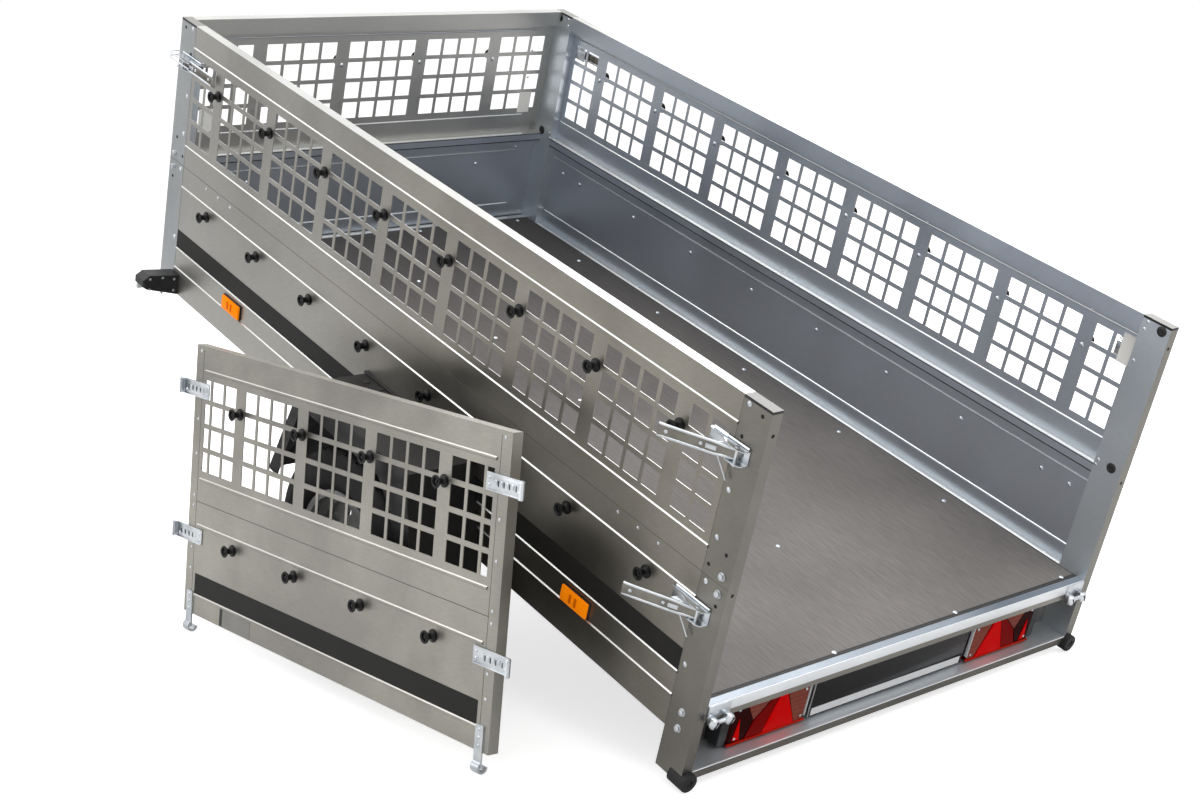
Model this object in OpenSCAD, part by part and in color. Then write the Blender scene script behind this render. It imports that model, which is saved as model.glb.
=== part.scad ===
// Single-axle tipping utility trailer, parked with its load bed tipped back on two rubber
// buffers. The drawbar stays down on its jockey wheel, and the tailgate is lifted off and
// leans on the left mudguard. Millimetres; +Y points forward, +X to the right, +Z up.

/* [Load bed] */
// Length over the corner posts
bed_length = 2376; // [1980:1:2860]
// Width over the side panels
bed_width = 1320; // [1100:1:1590]
// Height from the foot of the rear posts to the top rail
bed_height = 879; // [830:1:1060]
// Height of the joint between the lower panels and the mesh panels
joint_height = 478; // [440:1:500]
// Height of the lower edge of the side and front panels
side_bottom = 101; // [98:1:110]
// Height of the floor's upper face
floor_top = 188; // [175:1:200]
// Thickness of the plywood floor
floor_thickness = 12; // [9:1:18]
// Depth of posts and rails across a wall
wall_depth = 28; // [24:1:34]
// Width of a corner post along the side
post_width = 80; // [66:1:96]
// Thickness of the folded sheet steel
sheet = 2; // [1.5:0.5:2.5]

/* [Mesh windows] */
// Length of one window along the panel
window_length = 50; // [42:1:55]
// Height of one window
window_height = 49.5; // [41:0.5:52]
// Width of a bar between two windows
window_bar = 10; // [8:1:14]
// Height of the bar between two rows
window_row_bar = 12.3; // [10:0.1:14]
// Width of the bar between two groups
wide_bar = 43.7; // [36:0.1:52]
// Height of the lowest row of windows above the joint
window_rise = 81.5; // [70:0.5:95]

/* [Running gear] */
// Outer radius of the tyres
tyre_radius = 281; // [260:1:300]
// Width of the tyres
tyre_width = 145; // [120:1:165]
// Radius of the rim's bead seat
rim_radius = 165; // [150:1:178]
// Gap between a side panel and its tyre
wheel_gap = 35; // [30:1:50]
// Distance of the wheels ahead of the rear posts
axle_ahead = 1065; // [1020:1:1240]
// Drop of the wheels below the foot of the rear posts
axle_drop = 46; // [40:1:60]
// Radius of the stub axles
stub_radius = 20; // [17:1:24]

/* [Drawbar] */
// Width and height of the square drawbar tube
drawbar_tube_size = 60; // [50:1:62]
// Distance of the towing ball ahead of the load bed
drawbar_reach = 950; // [800:1:1150]
// Distance of the jockey wheel's tube ahead of the load bed
jockey_ahead = 300; // [260:1:400]
// Nose-up angle of the parked drawbar
drawbar_nose_up = 4; // [2:0.5:5]
// Radius of the jockey wheel
jockey_wheel_radius = 100; // [84:1:110]
// Travel of the jockey wheel's inner tube
jockey_travel = 200; // [150:5:220]
// Radius of the towing ball's socket
ball_radius = 25; // [25:1:26]

/* [Tailgate] */
// How much narrower the tailgate is than the load bed
tailgate_margin = 70; // [58:1:84]
// Drop of the closed tailgate's lower edge below the floor's upper face
tailgate_drop = 6; // [0:1:12]
// Lean of the tailgate against the mudguard
tailgate_lean = 6.58; // [5:0.01:8]
// Turn of the tailgate from the line of the side panel
tailgate_turn = 2.75; // [0:0.05:4]

/* [Hidden] */
$fn = 48;

fit = 0.2;
running_fit = 0.05;
half_width = bed_width / 2;
inner_half = half_width - wall_depth;
floor_bottom = floor_top - floor_thickness;

// Buffers and the tipped stance
buffer_radius = 22;
buffer_length = 49;
buffer_overhang = 14;
buffer_x = half_width - 15;
buffer_z = 5;
contact_z = buffer_z - buffer_radius;
wheel_dy = axle_ahead + buffer_overhang;
wheel_dz = -axle_drop - contact_z;
wheel_reach = sqrt(wheel_dy * wheel_dy + wheel_dz * wheel_dz);
tip_angle = asin(tyre_radius / wheel_reach) - atan2(wheel_dz, wheel_dy);
bed_lift = buffer_overhang * sin(tip_angle) - contact_z * cos(tip_angle);

// Wheels
wheel_x = half_width + wheel_gap + tyre_width / 2;
hub_radius = stub_radius + 18;
hub_length = 90;

// Axle
beam_size = 60;
beam_y = axle_ahead + 100;
beam_z = -12;
beam_half = inner_half - 12;
beam_wall = 4;
arm_length = 34;
pivot_z = side_bottom - 5 - drawbar_tube_size / 2;
pivot_radius = 8;
cheek_gap = 3;
cheek = 6;

// Drawbar
tube_half = drawbar_tube_size / 2;
tube_wall = 4;
tube_tail = 60;
drawbar_length = bed_length - beam_y + drawbar_reach;
tube_end = drawbar_length - 150;
lock_bore_y = bed_length - 46 - beam_y;
lock_bore_radius = 8.5;
ball_z = -10;
coupling_radius = 36;
coupling_half = 32;
jockey_distance = bed_length - beam_y + jockey_ahead;
jockey_x = tube_half + 47;
jockey_outer_radius = 30;
jockey_inner_radius = 24;
jockey_outer_top = 330;
jockey_trail = 38;
jockey_pin_radius = 6;
jockey_tyre_half = 28;
fork_gap = 26;

// Height steps in the panels
bead_height = 3;
bead_width = 9;
lower_beads = [floor_top - 13, floor_top + 45, joint_height - 61];
mesh_beads = [joint_height + 59, bed_height - 63];
rail_lip = 22;
top_lip = 44;
cap_thickness = 3;
lower_knob_z = joint_height - 90;
upper_knob_z = bed_height - 145;
end_margin = 145;
group_pitch = 4 * window_length + 3 * window_bar + wide_bar;
window_pitch = window_length + window_bar;
row_pitch = window_height + window_row_bar;
window_bottom = joint_height + window_rise;
window_rows = floor((mesh_beads[1] - bead_width - window_bottom + window_row_bar) / row_pitch);
side_clear = bed_length - 2 * post_width - 2 * fit;
front_clear = 2 * inner_half - 2 * fit;
tailgate_width = bed_width - tailgate_margin;
tailgate_bottom = floor_top - tailgate_drop;
tailgate_end_rail = 45;
tailgate_clear = tailgate_width - 2 * tailgate_end_rail;

// Floor frame
sill_depth = 22;
sill_height = 40;
sill_bottom = floor_top + 2 - sill_height;
sill_wall = 2.5;
member_size = 40;
member_sheet = 3;
member_count = 4;
trough_z = 21;
trough_web_y = post_width - 4;

// Lamps, plate and reflectors
lamp_x = 418;
lamp_width = 235;
lamp_bottom = trough_z + 7;
lamp_height = 108;
lamp_face = 25;
plate_width = 520;
plate_height = 110;
plate_face = lamp_face + 5;
plate_sheet = 3;
reflector_length = 95;
reflector_y = 367;
reflector_z = 180;
lamp_depth = 47;

// Mudguards
guard_inner = half_width + bead_height + fit;
guard_outer = wheel_x + tyre_width / 2 + 12;
guard_sheet = 3;
guard_top = tyre_radius - axle_drop + 91;
guard_top_half = tyre_radius - 49;
guard_end_half = tyre_radius + 44;
guard_end_z = 45;
guard_rim = 57;

// Number of whole window groups in a panel, and the places of its wide bars
function whole_groups(clear) = floor((clear - 2 * end_margin) / group_pitch);
function bar_places(clear) =
  [for (i = [0:whole_groups(clear)]) (i - whole_groups(clear) / 2) * group_pitch];
function end_space(clear) = (clear - whole_groups(clear) * group_pitch - wide_bar) / 2;

// Mudguard corner that the tailgate touches, and the leaning tailgate's place
touch_y = axle_ahead + guard_top_half;
touch_height = touch_y * sin(tip_angle) + guard_top * cos(tip_angle) + bed_lift;
touch_forward = touch_y * cos(tip_angle) - guard_top * sin(tip_angle);
hook_radius = 14;
hook_drop = 34;
hook_y = 2;
hook_z = tailgate_bottom - hook_drop;
tailgate_turned = 90 - tailgate_turn;
tailgate_centre = 945;
tailgate_lift = hook_radius + hook_y * sin(tailgate_lean) - hook_z * cos(tailgate_lean);
touch_gap = 0.5;
keeper_reach = 34;

// Inner face of the tailgate at the touching corner, before the tailgate is moved sideways
inner_rise = (touch_height - tailgate_lift + wall_depth * sin(tailgate_lean))
  / cos(tailgate_lean);
inner_depth = wall_depth * cos(tailgate_lean) + inner_rise * sin(tailgate_lean);
tailgate_x = -guard_outer - touch_gap
  - (inner_depth - (touch_forward - tailgate_centre) * sin(tailgate_turn)) / cos(tailgate_turn);

// Outermost point on the left: the curl of the tailgate's front hook
hook_x = tailgate_width / 2 - 30;
hook_width = 26;
hook_strap = 4;
pin_y = -13.2;
pin_z = hook_z + 6;
pin_radius = 5;
hook_depth = hook_z * sin(tailgate_lean) + hook_y * cos(tailgate_lean) - hook_radius;
left_reach = tailgate_x - (hook_x + hook_width / 2) * sin(tailgate_turn)
  + hook_depth * cos(tailgate_turn);

// Drawbar pivot and the jockey wheel's drop, in the standing trailer
pivot_forward = beam_y * cos(tip_angle) - pivot_z * sin(tip_angle);
pivot_height = beam_y * sin(tip_angle) + pivot_z * cos(tip_angle) + bed_lift;
jockey_drop = (pivot_height + (jockey_distance + jockey_trail) * sin(drawbar_nose_up)
  - jockey_wheel_radius) / cos(drawbar_nose_up);
fork_top = jockey_wheel_radius + fork_gap - jockey_drop;
jockey_outer_bottom = fork_top + jockey_travel + 10;

// Shift that puts the origin under the middle of the whole trailer's box
front_reach = pivot_forward + (drawbar_length + coupling_radius) * cos(drawbar_nose_up)
  + coupling_half * sin(drawbar_nose_up);
frame_x = -(left_reach + guard_outer) / 2;
frame_y = (bed_height * sin(tip_angle) - front_reach) / 2;

module tipped() {
  translate([frame_x, frame_y, bed_lift]) rotate([tip_angle, 0, 0]) children();
}

module on_drawbar() {
  translate([frame_x, frame_y + pivot_forward, pivot_height])
    rotate([drawbar_nose_up, 0, 0]) children();
}

module on_tailgate() {
  translate([frame_x + tailgate_x, frame_y + tailgate_centre, tailgate_lift])
    rotate([0, 0, -tailgate_turned]) rotate([-tailgate_lean, 0, 0]) children();
}

module both_sides() {
  children();
  mirror([1, 0, 0]) children();
}

// A panel lies along X, its outer face at y = 0 and its inside towards +y
module at_left() {
  translate([-half_width, bed_length / 2, 0]) rotate([0, 0, -90]) children();
}

module at_right() {
  translate([half_width, bed_length / 2, 0]) rotate([0, 0, 90]) children();
}

module at_front() {
  translate([0, bed_length, 0]) rotate([0, 0, 180]) children();
}

module along_x(length) {
  rotate([90, 0, 90]) linear_extrude(length, center = true) children();
}

// Points of a bead pressed outwards at height z, from its foot to its top
function bead(z) = [
  [0, z - bead_width / 2], [-bead_height, z - bead_width / 4],
  [-bead_height, z + bead_width / 4], [0, z + bead_width / 2]
];

// Rail folded inwards at the top of a panel, with a lip that hangs from its edge
function top_rail(top, lip) = [
  [0, top], [wall_depth, top], [wall_depth, top - lip], [wall_depth - sheet, top - lip],
  [wall_depth - sheet, top - sheet], [sheet, top - sheet]
];

// Folded lower panel with a box rail at its foot and a hooked rail at its top
module lower_profile(bottom, foot_top) {
  difference() {
    polygon(concat(
      [[0, bottom]],
      [for (z = lower_beads) if (z > bottom + bead_width) each bead(z)],
      top_rail(joint_height, rail_lip),
      [[sheet, foot_top], [wall_depth, foot_top], [wall_depth, bottom]]
    ));
    translate([sheet, bottom + sheet])
      square([wall_depth - 2 * sheet, foot_top - bottom - 2 * sheet]);
  }
}

module mesh_profile() {
  bottom = joint_height + fit;
  polygon(concat(
    [[0, bottom]], bead(mesh_beads[0]), bead(mesh_beads[1]), top_rail(bed_height, top_lip),
    [[sheet, bottom + sheet], [wall_depth, bottom + sheet], [wall_depth, bottom]]
  ));
}

module window_column(x, length) {
  for (row = [0:window_rows - 1])
    translate([x, -1, window_bottom + row * row_pitch])
      cube([length, sheet + 2, window_height]);
}

module window_cuts(clear) {
  bars = bar_places(clear);
  space = end_space(clear);
  whole = floor((space - 5) / window_pitch);
  rest = space - whole * window_pitch - 5;
  for (i = [0:len(bars) - 2], k = [0:3])
    window_column(bars[i] + wide_bar / 2 + k * window_pitch, window_length);
  for (k = [0:whole - 1]) {
    last = bars[len(bars) - 1] + wide_bar / 2 + k * window_pitch;
    window_column(last, window_length);
    window_column(-last - window_length, window_length);
  }
  if (rest > 15) {
    part = clear / 2 - 5 - rest;
    window_column(part, rest);
    window_column(-part - rest, rest);
  }
}

module lower_panel(clear, bottom, foot_top) {
  along_x(clear) lower_profile(bottom, foot_top);
}

module mesh_panel(clear) {
  difference() {
    along_x(clear) mesh_profile();
    window_cuts(clear);
  }
}

// Knob that holds the cover's elastic cord, standing out from a panel's outer face
module cover_knob() {
  rotate([90, 0, 0]) {
    cylinder(h = 4, r = 15);
    cylinder(h = 32, r = 7);
    translate([0, 0, 28]) cylinder(h = 6, r = 15);
  }
}

module knob_rows(clear) {
  for (x = bar_places(clear), z = [lower_knob_z, upper_knob_z])
    translate([x, -fit, z]) cover_knob();
}

module floor_panel() {
  color("dimgray") tipped()
    translate([-inner_half + fit, sill_depth + fit, floor_bottom])
      cube([
        2 * (inner_half - fit), bed_length - sill_depth - wall_depth - 2 * fit, floor_thickness
      ]);
}

module cross_member(y) {
  half = inner_half - fit;
  lip = member_size / 2 + 2;
  translate([-half, y - member_size / 2, floor_bottom - fit]) {
    translate([0, 0, -member_sheet]) cube([2 * half, member_size, member_sheet]);
    translate([0, 0, -member_size]) cube([2 * half, member_sheet, member_size]);
    translate([0, 0, -member_size]) cube([2 * half, lip, member_sheet]);
  }
}

module floor_cross_members() {
  spacing = (bed_length - 2 * post_width) / (member_count + 1);
  color("silver") tipped()
    for (i = [1:member_count]) cross_member(post_width + i * spacing);
}

module lower_side_left() {
  color("darkgray") tipped() at_left() lower_panel(side_clear, side_bottom, floor_top);
}

module lower_side_right() {
  color("darkgray") tipped() at_right() lower_panel(side_clear, side_bottom, floor_top);
}

module mesh_side_left() {
  color("darkgray") tipped() at_left() mesh_panel(side_clear);
}

module mesh_side_right() {
  color("darkgray") tipped() at_right() mesh_panel(side_clear);
}

module lower_front_panel() {
  color("darkgray") tipped() at_front() lower_panel(front_clear, side_bottom, floor_top);
}

module mesh_front_panel() {
  color("darkgray") tipped() at_front() mesh_panel(front_clear);
}

// Open channel post: a wide flange on the side and a narrow one across the corner
module post(bottom, top) {
  difference() {
    translate([inner_half, 0, bottom]) cube([wall_depth, post_width, top - bottom]);
    translate([inner_half + sheet, sheet, bottom - 1])
      cube([wall_depth - 2 * sheet, post_width - 2 * sheet, top - bottom + 2]);
  }
}

module buffer_bore() {
  translate([buffer_x, -buffer_overhang - 1, buffer_z]) rotate([-90, 0, 0])
    cylinder(h = buffer_length + 1 + fit, r = buffer_radius + fit);
}

module rear_posts() {
  color("darkgray") tipped() both_sides() difference() {
    post(0, joint_height);
    buffer_bore();
  }
}

module front_posts() {
  color("darkgray") tipped() both_sides()
    translate([0, bed_length - post_width, 0]) post(side_bottom, joint_height);
}

module extension_posts() {
  color("darkgray") tipped() both_sides()
    for (y = [0, bed_length - post_width])
      translate([0, y, 0]) post(joint_height + fit, bed_height - cap_thickness);
}

module post_caps() {
  color("black") tipped() both_sides()
    for (y = [0, bed_length - post_width])
      translate([inner_half, y, bed_height - cap_thickness + fit])
        cube([wall_depth, post_width, cap_thickness - fit]);
}

module rear_sill() {
  length = 2 * (inner_half - fit);
  color("lightgray") tipped() along_x(length) difference() {
    translate([0, sill_bottom]) square([sill_depth, sill_height]);
    translate([sill_wall, sill_bottom + sill_wall])
      square([sill_depth - 2 * sill_wall, sill_height - 2 * sill_wall]);
  }
}

// Trough between the rear posts that carries the lamps
module light_beam() {
  length = 2 * (inner_half - fit);
  lip_bottom = 2;
  color("gray") tipped() difference() {
    along_x(length) {
      translate([0, trough_z]) square([trough_web_y + sheet, sheet]);
      translate([0, lip_bottom]) square([sheet, trough_z]);
      translate([trough_web_y, trough_z]) square([sheet, floor_bottom - fit - trough_z]);
    }
    both_sides() buffer_bore();
  }
}

module tail_lamp() {
  translate([lamp_x - lamp_width / 2, lamp_face, lamp_bottom])
    cube([lamp_width, trough_web_y - fit - lamp_face, lamp_height]);
}

module tail_lamp_left() {
  color("darkred") tipped() mirror([1, 0, 0]) tail_lamp();
}

module tail_lamp_right() {
  color("darkred") tipped() tail_lamp();
}

module number_plate() {
  stud_start = plate_face + plate_sheet - 1;
  color("white") tipped() {
    translate([-plate_width / 2, plate_face, lamp_bottom])
      cube([plate_width, plate_sheet, plate_height]);
    for (x = [-150, 150])
      translate([x, stud_start, lamp_bottom + plate_height / 2]) rotate([-90, 0, 0])
        cylinder(h = trough_web_y - fit - stud_start, r = 8);
  }
}

module rubber_buffers() {
  color("black") tipped() both_sides()
    translate([buffer_x, -buffer_overhang, buffer_z]) rotate([-90, 0, 0])
      cylinder(h = buffer_length, r = buffer_radius);
}

// Front marker lamp that stands out beyond the side, with its lens forward
module position_lamp() {
  top = side_bottom + 61;
  front = bed_length - post_width + 14;
  translate([half_width + fit, front, 0]) rotate([90, 0, 0]) linear_extrude(lamp_depth)
    polygon([
      [0, side_bottom + 1], [0, top], [92, top + 8], [112, top - 6],
      [112, top - 24], [98, top - 34]
    ]);
}

module position_lamps() {
  color("black") tipped() both_sides() position_lamp();
}

module side_reflectors() {
  color("orange") tipped() both_sides()
    for (y = [reflector_y, bed_length - reflector_y - reflector_length])
      translate([half_width + fit, y, reflector_z]) cube([11, reflector_length, 42]);
}

module cover_hooks() {
  color("black") tipped() {
    at_left() knob_rows(side_clear);
    at_right() knob_rows(side_clear);
    at_front() knob_rows(front_clear);
  }
}

// Over-centre latch: a base with two ears and a pressed lever, swung out by an angle
module toggle_latch(angle) {
  translate([0, 0, -16]) cube([3, 84, 32]);
  for (z = [-16, 13]) translate([0, 10, z]) cube([20, 34, 3]);
  translate([14, 20, -16]) cylinder(h = 32, r = 3);
  translate([14, 20, 0]) rotate([0, 0, -angle]) {
    translate([-1.5, -8, -12.8]) cube([3, 170, 25.6]);
    for (z = [-12.8, 9.8]) translate([-6, 0, z]) cube([6, 158, 3]);
  }
}

module toggle_latches() {
  color("gainsboro") tipped() both_sides() {
    for (z = [lower_knob_z + 7, upper_knob_z + 28])
      translate([half_width + fit, 34, z]) toggle_latch(31);
    translate([half_width + fit, bed_length - 30, upper_knob_z + 36])
      mirror([0, 1, 0]) toggle_latch(0);
  }
}

module hinge_pins() {
  color("gainsboro") tipped() both_sides() {
    translate([hook_x - 29, -4, pin_z + 6]) cube([64, 4 - fit, 30]);
    for (x = [hook_x - hook_width, hook_x + hook_width / 2 + 5])
      translate([x, pin_y, pin_z]) rotate([0, 90, 0]) cylinder(h = 14, r = 13);
    translate([hook_x - hook_width, pin_y, pin_z]) rotate([0, 90, 0])
      cylinder(h = 58, r = pin_radius);
  }
}

// Outline of a mudguard seen from the side, with the wheel centre's y as its middle
module guard_outline() {
  polygon([
    [axle_ahead - guard_end_half, guard_end_z], [axle_ahead - guard_top_half, guard_top],
    [axle_ahead + guard_top_half, guard_top], [axle_ahead + guard_end_half, guard_end_z]
  ]);
}

module guard_inside() {
  polygon([
    [axle_ahead - guard_end_half - 3 * guard_sheet + 12, guard_end_z - 1],
    [axle_ahead - guard_top_half + 2, guard_top - guard_sheet],
    [axle_ahead + guard_top_half - 2, guard_top - guard_sheet],
    [axle_ahead + guard_end_half + 3 * guard_sheet - 12, guard_end_z - 1]
  ]);
}

// Lower rim of the outer skirt: higher over the wheel, cut back at 45 degrees behind it
module guard_mouth() {
  rise = guard_top - guard_rim;
  polygon([
    [axle_ahead - guard_end_half + 40, guard_end_z - 1],
    [axle_ahead - guard_top_half + 50, rise - 46], [axle_ahead - guard_top_half + 105, rise],
    [axle_ahead + guard_top_half - 14, rise], [axle_ahead + guard_end_half - 40, guard_end_z - 1]
  ]);
}

module guard_slab(inner, outer) {
  translate([inner, 0, 0]) rotate([90, 0, 90]) linear_extrude(outer - inner) children();
}

module mudguard() {
  difference() {
    guard_slab(guard_inner, guard_outer) guard_outline();
    guard_slab(guard_inner - 1, guard_outer - guard_sheet) guard_inside();
    guard_slab(guard_inner - 1, guard_outer + 1) guard_mouth();
  }
  translate([half_width + fit, axle_ahead - guard_top_half, guard_top - 36])
    cube([bead_height + guard_sheet, 2 * guard_top_half, 35]);
}

module mudguard_left() {
  color("black") tipped() mirror([1, 0, 0]) mudguard();
}

module mudguard_right() {
  color("black") tipped() mudguard();
}

module mudguard_brackets() {
  top = guard_top - guard_sheet - fit;
  leg_x = guard_inner + guard_sheet + fit;
  reach = guard_outer - guard_sheet - fit - leg_x;
  color("silver") tipped() both_sides()
    for (y = [axle_ahead - 150, axle_ahead + 130]) {
      translate([leg_x, y, top - 4]) cube([reach, 30, 4]);
      translate([leg_x, y, top - 50]) cube([4, 30, 50]);
      translate([leg_x + reach - 4, y, top - 40]) cube([4, 30, 40]);
    }
}

module axle_beam() {
  stub_start = beam_half - arm_length;
  color("silver") tipped() {
    difference() {
      translate([-beam_half, beam_y - beam_size / 2, beam_z - beam_size / 2])
        cube([2 * beam_half, beam_size, beam_size]);
      translate([-stub_start, beam_y - beam_size / 2 + beam_wall, beam_z - beam_size / 2 + beam_wall])
        cube([2 * stub_start, beam_size - 2 * beam_wall, beam_size - 2 * beam_wall]);
    }
    both_sides() {
      hull() {
        translate([stub_start, beam_y - 20, beam_z]) rotate([0, 90, 0])
          cylinder(h = arm_length, r = 24, $fn = 32);
        translate([stub_start, axle_ahead, -axle_drop]) rotate([0, 90, 0])
          cylinder(h = arm_length, r = stub_radius + 10, $fn = 32);
      }
      translate([stub_start + 1, axle_ahead, -axle_drop]) rotate([0, 90, 0])
        cylinder(h = wheel_x + 24 - stub_start, r = stub_radius);
    }
  }
}

// Hangers from the side rails to the axle, and the two cheeks of the drawbar's pivot
module axle_brackets() {
  top = side_bottom - fit;
  bottom = beam_z + beam_size / 2 + fit;
  web_top = floor_bottom - member_size - 6;
  color("silver") tipped() {
    both_sides() {
      translate([beam_half - 40, beam_y - 60, bottom]) cube([6, 120, web_top - bottom]);
      translate([beam_half - 40, beam_y - 60, bottom]) cube([40, 120, 6]);
      translate([beam_half - 40, beam_y - 60, top - 8]) cube([half_width - beam_half + 36, 120, 8]);
      translate([tube_half + cheek_gap, beam_y - 26, bottom]) cube([cheek, 52, pivot_z + 26 - bottom]);
    }
    translate([-tube_half - cheek_gap - cheek, beam_y - 26, bottom])
      cube([2 * (tube_half + cheek_gap + cheek), 52, 5]);
    translate([-tube_half - cheek_gap - cheek - 6, beam_y, pivot_z]) rotate([0, 90, 0])
      cylinder(h = 2 * (tube_half + cheek_gap + cheek + 6), r = pivot_radius);
  }
}

// Two ears below the front panel that take the locking pin of the lowered bed
module tip_catch() {
  ear_z = 36;
  color("silver") tipped() both_sides() difference() {
    translate([tube_half + 6, bed_length - 76, ear_z]) cube([5, 60, side_bottom - fit - ear_z]);
    translate([0, bed_length - 46, pivot_z]) rotate([0, 90, 0])
      cylinder(h = 80, r = lock_bore_radius);
  }
}

module tailgate_lower() {
  top = joint_height;
  color("darkgray") on_tailgate() {
    lower_panel(tailgate_clear + 1, tailgate_bottom, tailgate_bottom + 30);
    tailgate_end_rails(tailgate_bottom, top);
  }
}

// Channels that close both ends of the tailgate
module tailgate_end_rails(bottom, top) {
  both_sides() difference() {
    translate([tailgate_clear / 2, 0, bottom])
      cube([tailgate_end_rail, wall_depth, top - bottom]);
    translate([tailgate_clear / 2 - 1, sheet, bottom + sheet])
      cube([tailgate_end_rail + 1 - sheet, wall_depth, top - bottom - 2 * sheet]);
  }
}

module tailgate_mesh() {
  color("darkgray") on_tailgate() {
    mesh_panel(tailgate_clear + 1);
    tailgate_end_rails(joint_height + fit, bed_height);
  }
}

// Striker plates at the tailgate's ends, which the latches' bails hook over
module tailgate_keepers() {
  color("gainsboro") on_tailgate() both_sides()
    for (z = [lower_knob_z + 1, upper_knob_z + 32])
      translate([tailgate_width / 2 - 44, 0, z - 16]) {
        translate([0, -4 - fit, 0]) cube([44 + keeper_reach, 4, 32]);
        translate([keeper_reach + 40, -13, 0]) cube([4, 10, 32]);
      }
}

module tailgate_hooks() {
  color("gainsboro") on_tailgate() both_sides()
    translate([hook_x - hook_width / 2, 0, 0]) {
      translate([0, -hook_strap - fit, hook_z]) cube([hook_width, hook_strap, hook_drop + 60]);
      translate([0, hook_y, hook_z]) rotate([0, 90, 0]) difference() {
        cylinder(h = hook_width, r = hook_radius);
        translate([0, 0, -1]) cylinder(h = hook_width + 2, r = hook_radius - 5);
        translate([-2 * hook_radius, -hook_y, -1])
          cube([2 * hook_radius, 3 * hook_radius, hook_width + 2]);
      }
    }
}

module tailgate_cover_hooks() {
  color("black") on_tailgate() knob_rows(tailgate_clear);
}

// Tyre standing upright with its axis along X, open towards the rim
module tyre() {
  half = tyre_width / 2;
  tread = half - 12;
  seat = rim_radius + fit;
  bulge = seat + 0.45 * (tyre_radius - seat);
  rotate([0, 90, 0]) rotate_extrude($fn = 96) polygon([
    [seat, -half + 14], [seat + 14, -half + 14], [seat + 26, -half + 4], [bulge, -half],
    [tyre_radius - 30, -half + 3], [tyre_radius - 8, -tread], [tyre_radius, -tread + 12],
    [tyre_radius, tread - 12], [tyre_radius - 8, tread], [tyre_radius - 30, half - 3],
    [bulge, half], [seat + 26, half - 4], [seat + 14, half - 14], [seat, half - 14],
    [seat, half - 30], [seat + 16, half - 24], [bulge - 2, half - 11],
    [tyre_radius - 16, half - 24], [tyre_radius - 16, -half + 24],
    [bulge - 2, -half + 11], [seat + 16, -half + 24], [seat, -half + 30]
  ]);
}

// Pressed rim: barrel, flanges, disc with cooling holes, and hub
module rim() {
  edge = tyre_width / 2 - 14 + fit;
  disc = 12;
  rotate([0, 90, 0]) difference() {
    union() {
      rotate_extrude($fn = 96) polygon([
        [rim_radius - 4, -edge - 4], [rim_radius + 12, -edge - 4], [rim_radius + 12, -edge - 1],
        [rim_radius, -edge], [rim_radius, -edge + 24], [rim_radius - 18, -edge + 32],
        [rim_radius - 18, edge - 32], [rim_radius, edge - 24], [rim_radius, edge],
        [rim_radius + 12, edge + 1], [rim_radius + 12, edge + 4], [rim_radius - 4, edge + 4],
        [rim_radius - 4, edge - 20], [rim_radius - 22, edge - 30],
        [rim_radius - 22, -edge + 30], [rim_radius - 4, -edge + 20]
      ]);
      translate([0, 0, disc]) cylinder(h = 5, r = rim_radius - 20);
      translate([0, 0, disc]) cylinder(h = 18, r = 84);
      translate([0, 0, -hub_length / 2 + 6]) cylinder(h = hub_length, r = hub_radius);
      translate([0, 0, -10]) cylinder(h = disc + 12, r = 62);
    }
    translate([0, 0, -hub_length]) cylinder(h = 2 * hub_length, r = stub_radius + running_fit);
    for (i = [0:11]) rotate([0, 0, 30 * i]) translate([118, 0, disc - 1])
      cylinder(h = 9, r = 13);
  }
}

module at_wheel() {
  translate([wheel_x, axle_ahead, -axle_drop]) children();
}

module tyre_left() {
  color("black") tipped() mirror([1, 0, 0]) at_wheel() tyre();
}

module tyre_right() {
  color("black") tipped() at_wheel() tyre();
}

module rim_left() {
  color("lightgray") tipped() mirror([1, 0, 0]) at_wheel() rim();
}

module rim_right() {
  color("lightgray") tipped() at_wheel() rim();
}

module drawbar_tube() {
  color("silver") on_drawbar() difference() {
    translate([-tube_half, -tube_tail, -tube_half])
      cube([drawbar_tube_size, tube_end + tube_tail, drawbar_tube_size]);
    translate([-tube_half + tube_wall, -tube_tail - 1, -tube_half + tube_wall])
      cube([
        drawbar_tube_size - 2 * tube_wall, tube_end + tube_tail + 2,
        drawbar_tube_size - 2 * tube_wall
      ]);
    translate([-tube_half - 1, 0, 0]) rotate([0, 90, 0])
      cylinder(h = drawbar_tube_size + 2, r = pivot_radius + running_fit);
    translate([-tube_half - 1, lock_bore_y, 0]) rotate([0, 90, 0])
      cylinder(h = drawbar_tube_size + 2, r = lock_bore_radius);
  }
}

module coupling_head() {
  sleeve = tube_half + fit;
  color("gold") on_drawbar() difference() {
    union() {
      translate([-sleeve - 5, tube_end - 80, -sleeve - 5])
        cube([2 * sleeve + 10, 90, 2 * sleeve + 10]);
      translate([-24, tube_end + 5, -24]) cube([48, drawbar_length - tube_end, 48]);
      translate([0, drawbar_length, -coupling_half])
        cylinder(h = 2 * coupling_half, r = coupling_radius);
    }
    translate([-sleeve, tube_end - 81, -sleeve]) cube([2 * sleeve, 81 + fit, 2 * sleeve]);
    translate([0, drawbar_length, ball_z]) sphere(r = ball_radius + 0.2);
    translate([0, drawbar_length, -40]) cylinder(h = 40 + ball_z, r = ball_radius + 0.2);
  }
}

module coupling_handle() {
  color("red") on_drawbar()
    translate([-13, drawbar_length - 150, coupling_half + fit]) {
      translate([0, 130, 0]) cube([26, 36, 22]);
      translate([0, 0, 12]) cube([26, 140, 10]);
    }
}

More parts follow.
